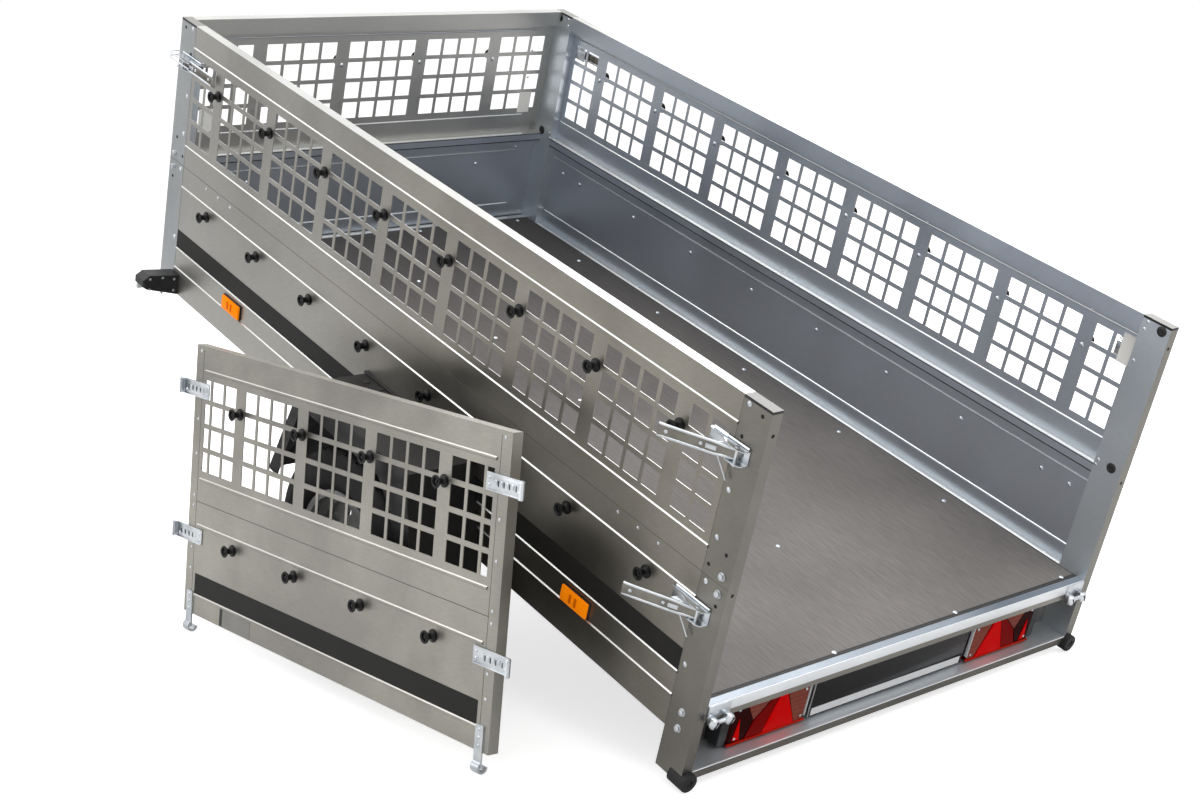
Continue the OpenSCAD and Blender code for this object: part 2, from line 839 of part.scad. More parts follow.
module jockey_outer_tube() {
  plate_x = tube_half + fit;
  color("silver") on_drawbar() difference() {
    union() {
      translate([jockey_x, jockey_distance, jockey_outer_bottom])
        cylinder(h = jockey_outer_top - jockey_outer_bottom, r = jockey_outer_radius);
      translate([jockey_x, jockey_distance, -28]) cylinder(h = 56, r = jockey_outer_radius + 6);
      translate([plate_x, jockey_distance - 45, -28]) cube([8, 90, 56]);
      translate([plate_x, jockey_distance - 20, -28]) cube([jockey_x - plate_x, 40, 56]);
      translate([jockey_x, jockey_distance, jockey_outer_top - 1]) cylinder(h = 26, r = 12);
      translate([jockey_x - 9, jockey_distance - 130, jockey_outer_top + 14])
        cube([18, 140, 8]);
      translate([jockey_x, jockey_distance - 120, jockey_outer_top + 20])
        cylinder(h = 70, r = 11);
    }
    translate([jockey_x, jockey_distance, jockey_outer_bottom - 1])
      cylinder(h = jockey_outer_top - jockey_outer_bottom - 5, r = jockey_inner_radius + 1);
  }
}

module jockey_inner_tube() {
  length = jockey_outer_top - jockey_travel - 20 - fork_top;
  color("silver") on_drawbar()
    translate([jockey_x, jockey_distance, fork_top + fit]) difference() {
      cylinder(h = length, r = jockey_inner_radius);
      translate([0, 0, 5]) cylinder(h = length, r = jockey_inner_radius - tube_wall);
    }
}

module jockey_fork() {
  top = fork_top;
  side = jockey_tyre_half + 5;
  color("silver") on_drawbar() translate([jockey_x, jockey_distance, 0]) {
    translate([0, 0, top - 8]) cylinder(h = 8, r = 34);
    translate([-side - 5, -26, top - 14]) cube([2 * side + 10, 58, 7]);
    for (x = [-side - 5, side]) hull() {
      translate([x, -26, top - 14]) cube([5, 58, 7]);
      translate([x, jockey_trail, -jockey_drop]) rotate([0, 90, 0])
        cylinder(h = 5, r = 18, $fn = 32);
    }
    translate([-side - 8, jockey_trail, -jockey_drop]) rotate([0, 90, 0])
      cylinder(h = 2 * side + 16, r = jockey_pin_radius);
  }
}

module jockey_tyre() {
  half = jockey_tyre_half;
  color("dimgray") on_drawbar()
    translate([jockey_x, jockey_distance + jockey_trail, -jockey_drop])
      rotate([0, 90, 0]) rotate_extrude($fn = 64) polygon([
        [jockey_pin_radius + running_fit, -half], [24, -half], [24, -half + 8],
        [56, -half + 8], [60, -half + 2], [jockey_wheel_radius - 12, -half + 2],
        [jockey_wheel_radius, -half + 12], [jockey_wheel_radius, half - 12],
        [jockey_wheel_radius - 12, half - 2], [60, half - 2], [56, half - 8],
        [24, half - 8], [24, half], [jockey_pin_radius + running_fit, half]
      ]);
}

floor_panel();
floor_cross_members();
lower_side_left();
lower_side_right();
mesh_side_left();
mesh_side_right();
lower_front_panel();
mesh_front_panel();
rear_posts();
front_posts();
extension_posts();
post_caps();
rear_sill();
light_beam();
tail_lamp_left();
tail_lamp_right();
number_plate();
rubber_buffers();
position_lamps();
side_reflectors();
cover_hooks();
toggle_latches();
hinge_pins();
mudguard_left();
mudguard_right();
mudguard_brackets();
axle_beam();
axle_brackets();
tip_catch();
tailgate_lower();
tailgate_mesh();
tailgate_keepers();
tailgate_hooks();
tailgate_cover_hooks();
tyre_left();
tyre_right();
rim_left();
rim_right();
drawbar_tube();
coupling_head();
coupling_handle();
jockey_outer_tube();
jockey_inner_tube();
jockey_fork();
jockey_tyre();
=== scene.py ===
"""Looks of the tipping utility trailer, with its tailgate lifted off and leaning on the left mudguard."""
from math import atan2, hypot, pi, radians

import bmesh
import bpy
from mathutils import Matrix, Vector


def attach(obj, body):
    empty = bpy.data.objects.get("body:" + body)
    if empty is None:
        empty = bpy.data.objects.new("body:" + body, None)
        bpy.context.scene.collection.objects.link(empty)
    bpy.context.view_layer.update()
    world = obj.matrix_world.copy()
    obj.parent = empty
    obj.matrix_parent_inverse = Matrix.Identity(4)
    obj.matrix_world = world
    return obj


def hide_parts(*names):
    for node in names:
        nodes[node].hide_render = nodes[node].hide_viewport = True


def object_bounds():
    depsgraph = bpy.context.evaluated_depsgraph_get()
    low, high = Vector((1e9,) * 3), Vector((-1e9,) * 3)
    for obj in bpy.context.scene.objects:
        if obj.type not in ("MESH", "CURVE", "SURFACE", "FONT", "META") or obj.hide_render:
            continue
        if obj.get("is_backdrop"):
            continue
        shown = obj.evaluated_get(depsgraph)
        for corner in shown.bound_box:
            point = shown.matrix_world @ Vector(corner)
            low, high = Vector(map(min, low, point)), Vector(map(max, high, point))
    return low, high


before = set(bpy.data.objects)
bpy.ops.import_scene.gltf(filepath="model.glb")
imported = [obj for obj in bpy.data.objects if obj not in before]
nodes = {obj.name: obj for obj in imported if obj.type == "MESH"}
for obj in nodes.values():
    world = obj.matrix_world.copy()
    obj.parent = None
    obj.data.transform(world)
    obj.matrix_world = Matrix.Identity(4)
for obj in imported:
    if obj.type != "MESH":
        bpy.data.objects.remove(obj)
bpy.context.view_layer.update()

MM = 0.001

# ---------------------------------------------------------------- the CAD's own sizes, in millimetres
BED_LENGTH, BED_WIDTH, BED_HEIGHT = 2376, 1320, 879
JOINT_HEIGHT, SIDE_BOTTOM, FLOOR_TOP = 478, 101, 188
# thickness of the sheet, depth of a panel and width of a corner post
SHEET_T, WALL, POST = 2, 28, 80
HALF = BED_WIDTH / 2
INNER_HALF = HALF - WALL
# inner side of a panel's sheet
SKIN = HALF - SHEET_T
AXLE_Y, AXLE_Z, WHEEL_X = 1065, -46, 767.5
# solid bars of the mesh panels, which carry the cover knobs
BAR_PITCH = 273.7
BARS_SIDE = [(i - 3.5) * BAR_PITCH for i in range(8)]
BARS_END = [(i - 1.5) * BAR_PITCH for i in range(4)]
KNOB_LOW, KNOB_HIGH = 388, 734
KNOBS_AT = (KNOB_LOW, KNOB_HIGH)
# the knobs' screws come through the sheet a little lower
SCREW_DROP = 9
KNOB_SCREWS_AT = (KNOB_LOW - SCREW_DROP, KNOB_HIGH - SCREW_DROP)


def turn(degrees, axis):
    return Matrix.Rotation(radians(degrees), 4, axis)


def move(x, y, z):
    return Matrix.Translation((x, y, z))


TO_METRES = Matrix.Diagonal((MM, MM, MM, 1))
# the load bed's rear edge and tilt, the drawbar's pivot and slope, and the tailgate's foot, turn and lean
BED_X, BED_Y, BED_Z = 69.872, -1519.858, 20.296
BED_TILT = turn(16.62933, "X")
BED = TO_METRES @ move(BED_X, BED_Y, BED_Z) @ BED_TILT
BAR = TO_METRES @ move(BED_X, BED_Y + 1097.387, 416.934) @ turn(4, "X")
GATE = TO_METRES @ move(BED_X - 967.514, BED_Y + 945, -132.802) @ turn(-87.25, "Z") @ turn(-6.58, "X")
LEFT = BED @ move(-HALF, BED_LENGTH / 2, 0) @ turn(-90, "Z")
RIGHT = BED @ move(HALF, BED_LENGTH / 2, 0) @ turn(90, "Z")
FRONT = BED @ move(0, BED_LENGTH, 0) @ turn(180, "Z")
MIRROR = Matrix.Diagonal((-1, 1, 1, 1))
SIDES = [BED, BED @ MIRROR]
# for what is already drawn where it stands
PLACED = Matrix.Identity(4)
# directions of the tilted load bed, for the painted highlight on faces that look up and the painted bluish
# reflection on faces that look into the bed
BED_UP = BED_TILT @ Vector((0, 0, 1))
BED_BACK = BED_TILT @ Vector((0, -1, 0))
BED_MIDDLE = BED_X * MM


# ---------------------------------------------------------------- materials
def colour(hex_value):
    """Linear RGBA of an sRGB hex colour."""
    parts = [int(hex_value[i:i + 2], 16) / 255 for i in (1, 3, 5)]
    return [c / 12.92 if c < 0.04045 else ((c + 0.055) / 1.055) ** 2.4 for c in parts] + [1.0]


def connect(tree, node, sockets):
    """Gives a node's sockets their values, or the outputs that feed them: a node's first, or one named."""
    for name, value in sockets.items():
        if isinstance(value, bpy.types.Node):
            value = value.outputs[0]
        if isinstance(value, bpy.types.NodeSocket):
            tree.links.new(value, node.inputs[name])
        else:
            node.inputs[name].default_value = value


def add_node(tree, kind, sockets=None, stops=(), **settings):
    """Adds a shader node with its settings and links; stops are a ramp's places and colours."""
    made = tree.nodes.new("ShaderNode" + kind)
    for name, value in settings.items():
        setattr(made, name, value)
    for i, (position, tone) in enumerate(stops):
        made.color_ramp.elements[i].position = position
        made.color_ramp.elements[i].color = colour(tone)
    connect(tree, made, sockets or {})
    return made


def start_material(name, **surface):
    """A material with a Principled surface, and its Object coordinates in metres."""
    mat = bpy.data.materials.new(name)
    mat.use_nodes = True
    tree = mat.node_tree
    shader = tree.nodes["Principled BSDF"]
    connect(tree, shader, {socket.replace("_", " "): value for socket, value in surface.items()})
    place = add_node(tree, "TexCoord").outputs["Object"]
    return mat, tree, shader, place


# how far a face is turned inwards, as a cosine, where its painted bluish reflection starts and where it is
# full
TURNED_FROM, TURNED_TO = 0.72, 0.93
# beyond this Y, in metres, a face that looks back is the front wall's
FRONT_WALL_FROM = 0.4


def galvanised_sheet(name, base, patch, rough, metal, inner=None, bright="#B8B5AD", front=None):
    """Continuous galvanised sheet: satin zinc, cloudy, and paler where a fold faces the sky, a painted
    highlight.
    """
    mat, tree, shader, place = start_material(name, Metallic=metal)
    cloud = add_node(tree, "TexNoise", {"Vector": place, "Scale": 3.2, "Detail": 3.0, "Roughness": 0.55})
    body = add_node(tree, "ValToRGB", {"Fac": cloud}, stops=((0.36, patch), (0.66, base)))
    normal = add_node(tree, "NewGeometry").outputs["Normal"]
    spot = add_node(tree, "SeparateXYZ", {"Vector": place})
    if front:
        # painted highlight: paler towards the front end, away from the loading edge
        ahead = add_node(tree, "MapRange", {"Value": spot.outputs["Y"], "From Min": -0.9, "From Max": 0.9})
        body = add_node(tree, "MixRGB", {"Fac": ahead, "Color1": body, "Color2": colour(front)})
    if inner:
        # painted reflection: faces that look into the load bed are tinted paler and bluer than the outside
        across = add_node(tree, "Math", {0: spot.outputs["X"], 1: BED_MIDDLE}, operation="SUBTRACT")
        hand = add_node(tree, "Math", {0: across}, operation="SIGN")
        sideways = add_node(tree, "SeparateXYZ", {"Vector": normal})
        inwards = add_node(tree, "Math", {0: sideways.outputs["X"], 1: hand}, operation="MULTIPLY")
        side_share = add_node(tree, "MapRange", {"Value": inwards, "From Min": -TURNED_FROM,
                                                 "From Max": -TURNED_TO})
        backwards = add_node(tree, "VectorMath", {0: normal, 1: BED_BACK}, operation="DOT_PRODUCT")
        front_face = add_node(tree, "MapRange", {"Value": backwards.outputs["Value"],
                                                 "From Min": TURNED_FROM, "From Max": TURNED_TO})
        at_front = add_node(tree, "Math", {0: spot.outputs["Y"], 1: FRONT_WALL_FROM},
                            operation="GREATER_THAN")
        front_share = add_node(tree, "Math", {0: front_face, 1: at_front}, operation="MULTIPLY")
        share = add_node(tree, "Math", {0: side_share, 1: front_share}, operation="MAXIMUM")
        body = add_node(tree, "MixRGB", {"Fac": share, "Color1": body, "Color2": colour(inner)})
    # painted highlight: folds and top edges that face the sky are mixed towards the bright tone
    skyward = add_node(tree, "VectorMath", {0: normal, 1: BED_UP}, operation="DOT_PRODUCT")
    painted_highlight_share = add_node(tree, "MapRange", {"Value": skyward.outputs["Value"],
                                         "From Min": 0.25, "From Max": 0.75})
    body = add_node(tree, "MixRGB", {"Fac": painted_highlight_share, "Color1": body, "Color2": colour(bright)})
    # rolling lines about 2 mm apart, wider than the real ones so that they show
    stretched = add_node(tree, "Mapping", {"Vector": place, "Scale": (1, 0.1, 1)})
    lines = add_node(tree, "TexNoise", {"Vector": stretched, "Scale": 420.0, "Detail": 2.0})
    toned = add_node(tree, "MixRGB", {"Fac": 0.12, "Color1": body, "Color2": lines}, blend_type="OVERLAY")
    satin = add_node(tree, "MapRange", {"Value": cloud, "From Min": 0.3, "From Max": 0.7,
                                        "To Min": rough - 0.06, "To Max": rough + 0.08})
    relief = add_node(tree, "Bump", {"Height": lines, "Strength": 0.06, "Distance": 0.0003})
    connect(tree, shader, {"Base Color": toned, "Roughness": satin, "Normal": relief})
    return mat


def hot_dip_galvanised():
    """Hot-dip galvanised frame parts: brighter zinc with centimetre-wide crystal spangle."""
    mat, tree, shader, place = start_material("hot_dip_galvanised_steel", Metallic=0.9)
    spangle = add_node(tree, "TexVoronoi", {"Vector": place, "Scale": 90.0})
    grey = add_node(tree, "SeparateColor", {"Color": spangle.outputs["Color"]})
    shade = add_node(tree, "ValToRGB", {"Fac": grey.outputs["Red"]}, stops=((0, "#A3A6A8"), (1, "#C2C5C7")))
    rough = add_node(tree, "MapRange", {"Value": grey.outputs["Green"], "To Min": 0.30, "To Max": 0.48})
    connect(tree, shader, {"Base Color": shade, "Roughness": rough})
    return mat


def zinc_plated(name, dull, bright):
    """Zinc plated pressings and fasteners: pale, shiny, faintly smeared by the rinse."""
    mat, tree, shader, place = start_material(name, Metallic=1.0)
    smear = add_node(tree, "TexNoise", {"Vector": place, "Scale": 28.0, "Detail": 1.0})
    shade = add_node(tree, "ValToRGB", {"Fac": smear}, stops=((0.35, dull), (0.6, bright)))
    rough = add_node(tree, "MapRange", {"Value": smear, "To Min": 0.25, "To Max": 0.31})
    connect(tree, shader, {"Base Color": shade, "Roughness": rough})
    return mat


def film_plywood():
    """Phenolic-film plywood: dark grey-brown film with fine streaks along the bed and a soft sheen."""
    mat, tree, shader, place = start_material("film_faced_plywood", Specular_IOR_Level=0.15)
    # streaks about 4 mm apart, coarser than the real 2 mm print so that they show
    along = add_node(tree, "Mapping", {"Vector": place, "Scale": (1.0, 0.08, 0.08)})
    streaks = add_node(tree, "TexNoise", {"Vector": along, "Scale": 260.0, "Detail": 3.0})
    cloud = add_node(tree, "TexNoise", {"Vector": place, "Scale": 1.6, "Detail": 2.0})
    shade = add_node(tree, "ValToRGB", {"Fac": cloud}, stops=((0.3, "#5F5B59"), (0.72, "#787471")))
    # painted light and shade: the film is paler towards the rear edge and darker towards the right side
    spot = add_node(tree, "SeparateXYZ", {"Vector": place})
    painted_rear_light = add_node(tree, "MapRange", {"Value": spot.outputs["Y"], "From Min": -1.15, "From Max": 1.0,
                                         "To Min": 1.55, "To Max": 0.36})
    side = add_node(tree, "MapRange", {"Value": spot.outputs["X"], "From Min": -0.4, "From Max": 0.7,
                                       "To Min": 1.0, "To Max": 0.68})
    both = add_node(tree, "Math", {0: painted_rear_light, 1: side}, operation="MULTIPLY")
    painted_light_and_shade = add_node(tree, "VectorMath", {0: shade, "Scale": both}, operation="SCALE")
    toned = add_node(tree, "MixRGB", {"Fac": 0.35, "Color1": painted_light_and_shade, "Color2": streaks}, blend_type="OVERLAY")
    sheen = add_node(tree, "MapRange", {"Value": cloud, "To Min": 0.46, "To Max": 0.6})
    relief = add_node(tree, "Bump", {"Height": streaks, "Strength": 0.12, "Distance": 0.0004})
    connect(tree, shader, {"Base Color": toned, "Roughness": sheen, "Normal": relief})
    return mat


def grained(name, base, rough, grain_mm, strength, top=None, **surface):
    """Moulded or painted surface with a fine grain; top is the tone of faces that turn to the sky."""
    mat, tree, shader, place = start_material(name, **surface)
    grain = add_node(tree, "TexNoise", {"Vector": place, "Scale": 1000.0 / grain_mm, "Detail": 2.0})
    cloud = add_node(tree, "TexNoise", {"Vector": place, "Scale": 14.0, "Detail": 3.0})
    tone = add_node(tree, "MixRGB", {"Fac": 0.16, "Color1": colour(base), "Color2": cloud},
                    blend_type="OVERLAY")
    if top:
        normal = add_node(tree, "NewGeometry").outputs["Normal"]
        skyward = add_node(tree, "VectorMath", {0: normal, 1: BED_UP}, operation="DOT_PRODUCT")
        top_share = add_node(tree, "MapRange", {"Value": skyward.outputs["Value"],
                                            "From Min": 0.8, "From Max": 0.95})
        tone = add_node(tree, "MixRGB", {"Fac": top_share, "Color1": tone, "Color2": colour(top)})
    level = add_node(tree, "MapRange", {"Value": grain, "To Min": rough - 0.05, "To Max": rough + 0.07})
    relief = add_node(tree, "Bump", {"Height": grain, "Strength": strength, "Distance": 0.0004})
    connect(tree, shader, {"Base Color": tone, "Roughness": level, "Normal": relief})
    return mat


def prismatic_lens(name, base, deep, prism_mm, gloss=0.02, glow=0.0):
    """Moulded acrylic lens: prisms under a glossy skin; glow is painted light, an emission for the light
    they throw back.
    """
    mat, tree, shader, place = start_material(name, Roughness=0.24, IOR=1.49, Specular_IOR_Level=gloss,
                                               Emission_Color=colour(base), Emission_Strength=glow)
    cells = add_node(tree, "TexVoronoi", {"Vector": place, "Scale": 1000.0 / prism_mm, "Randomness": 0.35})
    shade = add_node(tree, "ValToRGB", {"Fac": cells}, stops=((0, base), (1, deep)))
    relief = add_node(tree, "Bump", {"Height": cells, "Strength": 0.25, "Distance": 0.0006})
    connect(tree, shader, {"Base Color": shade, "Normal": relief})
    return mat


# pressed panels and posts: warm and cloudy outside; a painted bluish reflection inside, painted highlights
# on folds and at the front
SHEET = galvanised_sheet("galvanised_sheet_steel", "#98948C", "#858179", 0.34, 0.92,
                         inner="#C8CFD9", bright="#C6C7C4", front="#B4B3AF")
FRONT_MESH = galvanised_sheet("galvanised_front_mesh", "#9D9991", "#89857D", 0.36, 0.92,
                              inner="#BFBEBA", bright="#C6C7C4", front="#B9B8B4")
POST_SHEET = galvanised_sheet("galvanised_post_steel", "#8C8982", "#78756F", 0.36, 0.92,
                              inner="#D6DDE3", bright="#C6C7C4", front="#B4B8BB")
GATE_SHEET = galvanised_sheet("galvanised_tailgate_sheet", "#A9A69E", "#93908A", 0.36, 0.92,
                              bright="#E2E0DA")
SILL_SHEET = galvanised_sheet("galvanised_sill_steel", "#8F8C84", "#7F7C75", 0.34, 0.92, bright="#8A9199")
# pale edges and pressed lines: near-white for a painted highlight where they catch the light
SILL_EDGE = galvanised_sheet("painted_highlight_sill_edge", "#F4F6F8", "#E8ECEF", 0.34, 0.25, bright="#F4F6F8")
PRESSED = galvanised_sheet("painted_highlight_pressed_line", "#C9CED4", "#B4BAC1", 0.3, 0.85, bright="#F0F0EC")
# the trough that holds the lamps: duller and rougher than the panels
TROUGH = galvanised_sheet("galvanised_lamp_trough", "#85827C", "#76736D", 0.46, 0.8, bright="#E2E7EC")
FRAME = hot_dip_galvanised()
ZINC = zinc_plated("bright_zinc_plate", "#C4C9CE", "#D6DADE")
# darker zinc: a painted dark reflection on the latch levers' webs, which sets them off from their bright
# flanges
ZINC_DULL = zinc_plated("painted_reflection_zinc_plate", "#75726C", "#86837C")
PLYWOOD = film_plywood()
# black mouldings: finely grained, with a low broad sheen
PLASTIC = grained("moulded_polypropylene", "#161617", 0.44, 1.2, 0.15)
# black caps, grey on the faces that turn to the sky
CAP = grained("moulded_polyethylene_cap", "#1C1C1D", 0.4, 1.5, 0.05, top="#8B8986")
# black nylon knobs: darker and less reflective than the mudguards, with a small soft glint
KNOB_NYLON = grained("moulded_black_nylon", "#0B0B0C", 0.36, 1.2, 0.08, Specular_IOR_Level=0.28)
# rubber: matt black, with a deeper grain than the plastics
RUBBER = grained("moulded_rubber", "#131313", 0.62, 1.0, 0.2)
TYRE = grained("tyre_rubber", "#1B1B1B", 0.72, 1.6, 0.35)
# sprayed wheel enamel: smooth silver with a soft metallic sheen
ENAMEL = grained("silver_wheel_enamel", "#B9BBBD", 0.34, 2.5, 0.05, Metallic=0.65)
# vinyl film: a flat even near-black band on the sheet
FILM = grained("dark_vinyl_film", "#262524", 0.5, 3.0, 0.03, Specular_IOR_Level=0.16)
# blank labels: matt white paper and satin silver foil
LABEL = grained("blank_paper_label", "#FBF9F3", 0.6, 2.0, 0.03)
LABEL_GREY = grained("blank_silver_label", "#8D8C88", 0.5, 2.0, 0.03)
# shadow in holes and open joints: matt and dark
HOLE = grained("dark_gap", "#0B0B0C", 0.8, 3.0, 0.0)
SEAM = grained("shaded_seam", "#63615C", 0.6, 3.0, 0.0, Metallic=0.6)
DARK_SEAM = grained("open_seam", "#2A2A2A", 0.6, 3.0, 0.0)
# number plate: smooth white enamel in a gloss black holder
PLATE = grained("white_plate_enamel", "#E4E5E6", 0.3, 3.0, 0.02)
PLATE_DARK = grained("gloss_black_holder", "#0E0E10", 0.16, 3.0, 0.02, Specular_IOR_Level=0.22)
# acrylic lenses, from bright to shaded facets; the glow of some is painted light
RED = prismatic_lens("red_acrylic_reflector", "#DC0000", "#C40000", 4.0, glow=0.05)
RED_DEEP = prismatic_lens("deep_red_acrylic", "#8C0000", "#700000", 4.0)
RED_BLACK = prismatic_lens("shaded_red_acrylic", "#3A0404", "#1E0101", 4.0)
RED_CLEAR = prismatic_lens("ribbed_red_acrylic", "#9C5A4C", "#6A2820", 3.5)
RED_RIM = prismatic_lens("orange_red_acrylic", "#D8301A", "#A81C0C", 3.0)
AMBER = prismatic_lens("amber_acrylic_lens", "#FF8C0A", "#F27602", 4.0, glow=0.36)
AMBER_DEEP = prismatic_lens("deep_amber_acrylic", "#DC6C04", "#C85C04", 4.0, glow=0.2)
CLEAR = prismatic_lens("clear_acrylic_lens", "#E9EBEC", "#B9BEC2", 5.0, gloss=0.5)

# CAD nodes whose finish isn't the side panels' sheet
FINISH = {
    PLYWOOD: ["floor_panel"],
    FRONT_MESH: ["mesh_front_panel"],
    POST_SHEET: ["front_posts", "extension_posts", "rear_posts"],
    SILL_SHEET: ["rear_sill"],
    TROUGH: ["light_beam"],
    GATE_SHEET: ["tailgate_lower", "tailgate_mesh"],
    FRAME: ["floor_cross_members", "mudguard_brackets", "axle_beam", "axle_brackets", "tip_catch",
            "drawbar_tube"],
    ZINC: ["toggle_latches", "hinge_pins", "tailgate_keepers", "tailgate_hooks", "coupling_head",
           "coupling_handle", "jockey_outer_tube", "jockey_inner_tube", "jockey_fork"],
    PLASTIC: ["position_lamps", "cover_hooks", "tailgate_cover_hooks", "mudguard_left", "mudguard_right"],
    CAP: ["post_caps"],
    RUBBER: ["rubber_buffers", "jockey_tyre"],
    TYRE: ["tyre_left", "tyre_right"],
    ENAMEL: ["rim_left", "rim_right"],
    PLATE: ["number_plate"],
    RED: ["tail_lamp_left", "tail_lamp_right"],
    AMBER: ["side_reflectors"],
}
for part in nodes.values():
    part.data.materials.clear()
    part.data.materials.append(SHEET)
for finish, names in FINISH.items():
    for name in names:
        nodes[name].data.materials[0] = finish


# ---------------------------------------------------------------- making pieces
def piece(name, bm, finish, place=PLACED, body="bed", smooth=35):
    """Turns a bmesh into a finished piece that rides on a body; place takes it to where it stands."""
    bmesh.ops.transform(bm, matrix=place, verts=bm.verts)
    bmesh.ops.remove_doubles(bm, verts=bm.verts, dist=0.000005)
    bmesh.ops.recalc_face_normals(bm, faces=bm.faces)
    mesh = bpy.data.meshes.new(name)
    bm.to_mesh(mesh)
    bm.free()
    for mat in finish if isinstance(finish, list) else [finish]:
        mesh.materials.append(mat)
    mesh.set_sharp_from_angle(angle=radians(smooth))
    for face in mesh.polygons:
        face.use_smooth = True
    made = bpy.data.objects.new(name, mesh)
    bpy.context.scene.collection.objects.link(made)
    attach(made, body)
    return made


def bevel(bm, geometry, size, segments=2):
    """Rounds the edges given by size, in millimetres."""
    bmesh.ops.bevel(bm, geom=geometry, offset=size, offset_type="OFFSET", affect="EDGES",
                    segments=segments, profile=0.5, material=-1, clamp_overlap=True)


def block(bm, low, high, rounding=0, finish=0):
    """A block between two corners, with its edges rounded."""
    size = Vector(high) - Vector(low)
    middle = (Vector(high) + Vector(low)) / 2
    made = bmesh.ops.create_cube(bm, size=1, matrix=Matrix.Translation(middle) @ Matrix.Diagonal((*size, 1)))
    faces = {f for v in made["verts"] for f in v.link_faces}
    for face in faces:
        face.material_index = finish
    if rounding:
        bevel(bm, list({e for v in made["verts"] for e in v.link_edges}), rounding)


def turned(profile, steps=24, finish=0):
    """A solid of revolution about Z from (radius, height) points."""
    if profile[0] != profile[-1] and profile[0][0] > 0:
        profile = [(0, profile[0][1])] + profile
    bm = bmesh.new()
    points = [bm.verts.new((radius, 0, height)) for radius, height in profile]
    for first, second in zip(points, points[1:]):
        bm.edges.new((first, second))
    bmesh.ops.spin(bm, geom=bm.verts[:] + bm.edges[:], cent=(0, 0, 0), axis=(0, 0, 1), dvec=(0, 0, 0),
                   angle=2 * pi, steps=steps, use_merge=True, use_duplicate=False)
    bmesh.ops.remove_doubles(bm, verts=bm.verts, dist=0.001)
    bmesh.ops.recalc_face_normals(bm, faces=bm.faces)
    for face in bm.faces:
        face.material_index = finish
    return as_mesh(bm)


def slab(corners, thickness, finish=0):
    """A flat outline with a thickness, which is the vector from one face to the other."""
    bm = bmesh.new()
    bm.faces.new([bm.verts.new(corner) for corner in corners])
    grown = bmesh.ops.extrude_face_region(bm, geom=bm.faces[:])
    moved = [v for v in grown["geom"] if isinstance(v, bmesh.types.BMVert)]
    bmesh.ops.translate(bm, vec=thickness, verts=moved)
    bmesh.ops.recalc_face_normals(bm, faces=bm.faces)
    for face in bm.faces:
        face.material_index = finish
    return as_mesh(bm)


def as_mesh(bm):
    """Turns a bmesh into a small mesh to stamp."""
    mesh = bpy.data.meshes.new("pattern")
    bm.to_mesh(mesh)
    bm.free()
    return mesh


def stamp(bm, pattern, places=(PLACED,)):
    """Adds a copy of a small mesh at each place."""
    for place in places:
        copy = pattern.copy()
        copy.transform(place)
        if place.determinant() < 0:
            copy.flip_normals()
        bm.from_mesh(copy)
        bpy.data.meshes.remove(copy)


def wire(points, radius, rounded=True):
    """A round wire along points; unless it is rounded, it is straight from point to point."""
    curve = bpy.data.curves.new("wire", "CURVE")
    curve.dimensions, curve.bevel_depth, curve.bevel_resolution = "3D", radius, 3
    curve.use_fill_caps = True
    line = curve.splines.new("NURBS" if rounded else "POLY")
    line.points.add(len(points) - 1)
    for target, source in zip(line.points, points):
        target.co = (*source, 1)
    if rounded:
        line.order_u, line.use_endpoint_u, line.resolution_u = 3, True, 6
    holder = bpy.data.objects.new("wire", curve)
    mesh = bpy.data.meshes.new_from_object(holder)
    bpy.data.objects.remove(holder)
    return mesh


def out_of(x, z, lift=0):
    """On a panel's outer face, or lifted off it, its axis pointing outwards."""
    return move(x, -lift, z) @ turn(90, "X")


def into(x, z, depth=0):
    """On a panel at a depth from its outer face, its axis pointing inwards."""
    return move(x, depth, z) @ turn(-90, "X")


RIVET = turned([(4.2, 0), (4.0, 0.9), (3.0, 1.8), (1.5, 2.3), (0, 2.4)], 10)
BUTTON = turned([(6.5, 0), (6.2, 1.2), (4.6, 2.6), (2.2, 3.3), (0, 3.4)], 12)
PLUG = turned([(4.5, 0), (4.5, 0.25), (0, 0.25)], 12)


def bolt_mesh(across, height, washer):
    """Hexagon bolt head on its washer."""
    bm = bmesh.new()
    bmesh.ops.create_cone(bm, cap_ends=True, segments=20, radius1=washer, radius2=washer, depth=1.6,
                          matrix=move(0, 0, 0.8))
    corner = across / 1.732
    head = bmesh.ops.create_cone(bm, cap_ends=True, segments=6, radius1=corner, radius2=corner,
                                 depth=height, matrix=move(0, 0, 1.6 + height / 2))
    top = [e for e in {e for v in head["verts"] for e in v.link_edges}
           if all(v.co.z > 1.6 + height * 0.9 for v in e.verts)]
    bevel(bm, top, height * 0.18, 2)
    return as_mesh(bm)


BOLT = bolt_mesh(13, 5.5, 9)
BIG_BOLT = bolt_mesh(17, 7, 12)

# ---------------------------------------------------------------- panel trim
KNOB = turned([(0, 0), (15, 0), (15, 1.8), (10.5, 3.2), (8, 6), (7.4, 10), (7.6, 16), (10, 19.6),
               (14.2, 21.4), (15, 22.6), (15, 24), (13.8, 25), (10.5, 25), (9.2, 23.4), (8.6, 20.3),
               (4.6, 20.3), (4.4, 22.4), (3.2, 23), (0, 23)], 24)
bm = bmesh.new()
for panel, bars in ((LEFT, BARS_SIDE), (RIGHT, BARS_SIDE), (FRONT, BARS_END)):
    stamp(bm, KNOB, [panel @ out_of(x, z, 0.2) for x in bars for z in KNOBS_AT])
knobs = piece("cover_knobs", bm, KNOB_NYLON)
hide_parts("cover_hooks")
bm = bmesh.new()
stamp(bm, KNOB, [GATE @ out_of(x, z, 0.2) for x in BARS_END for z in KNOBS_AT])
knobs = piece("tailgate_knobs", bm, KNOB_NYLON)
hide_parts("tailgate_cover_hooks")

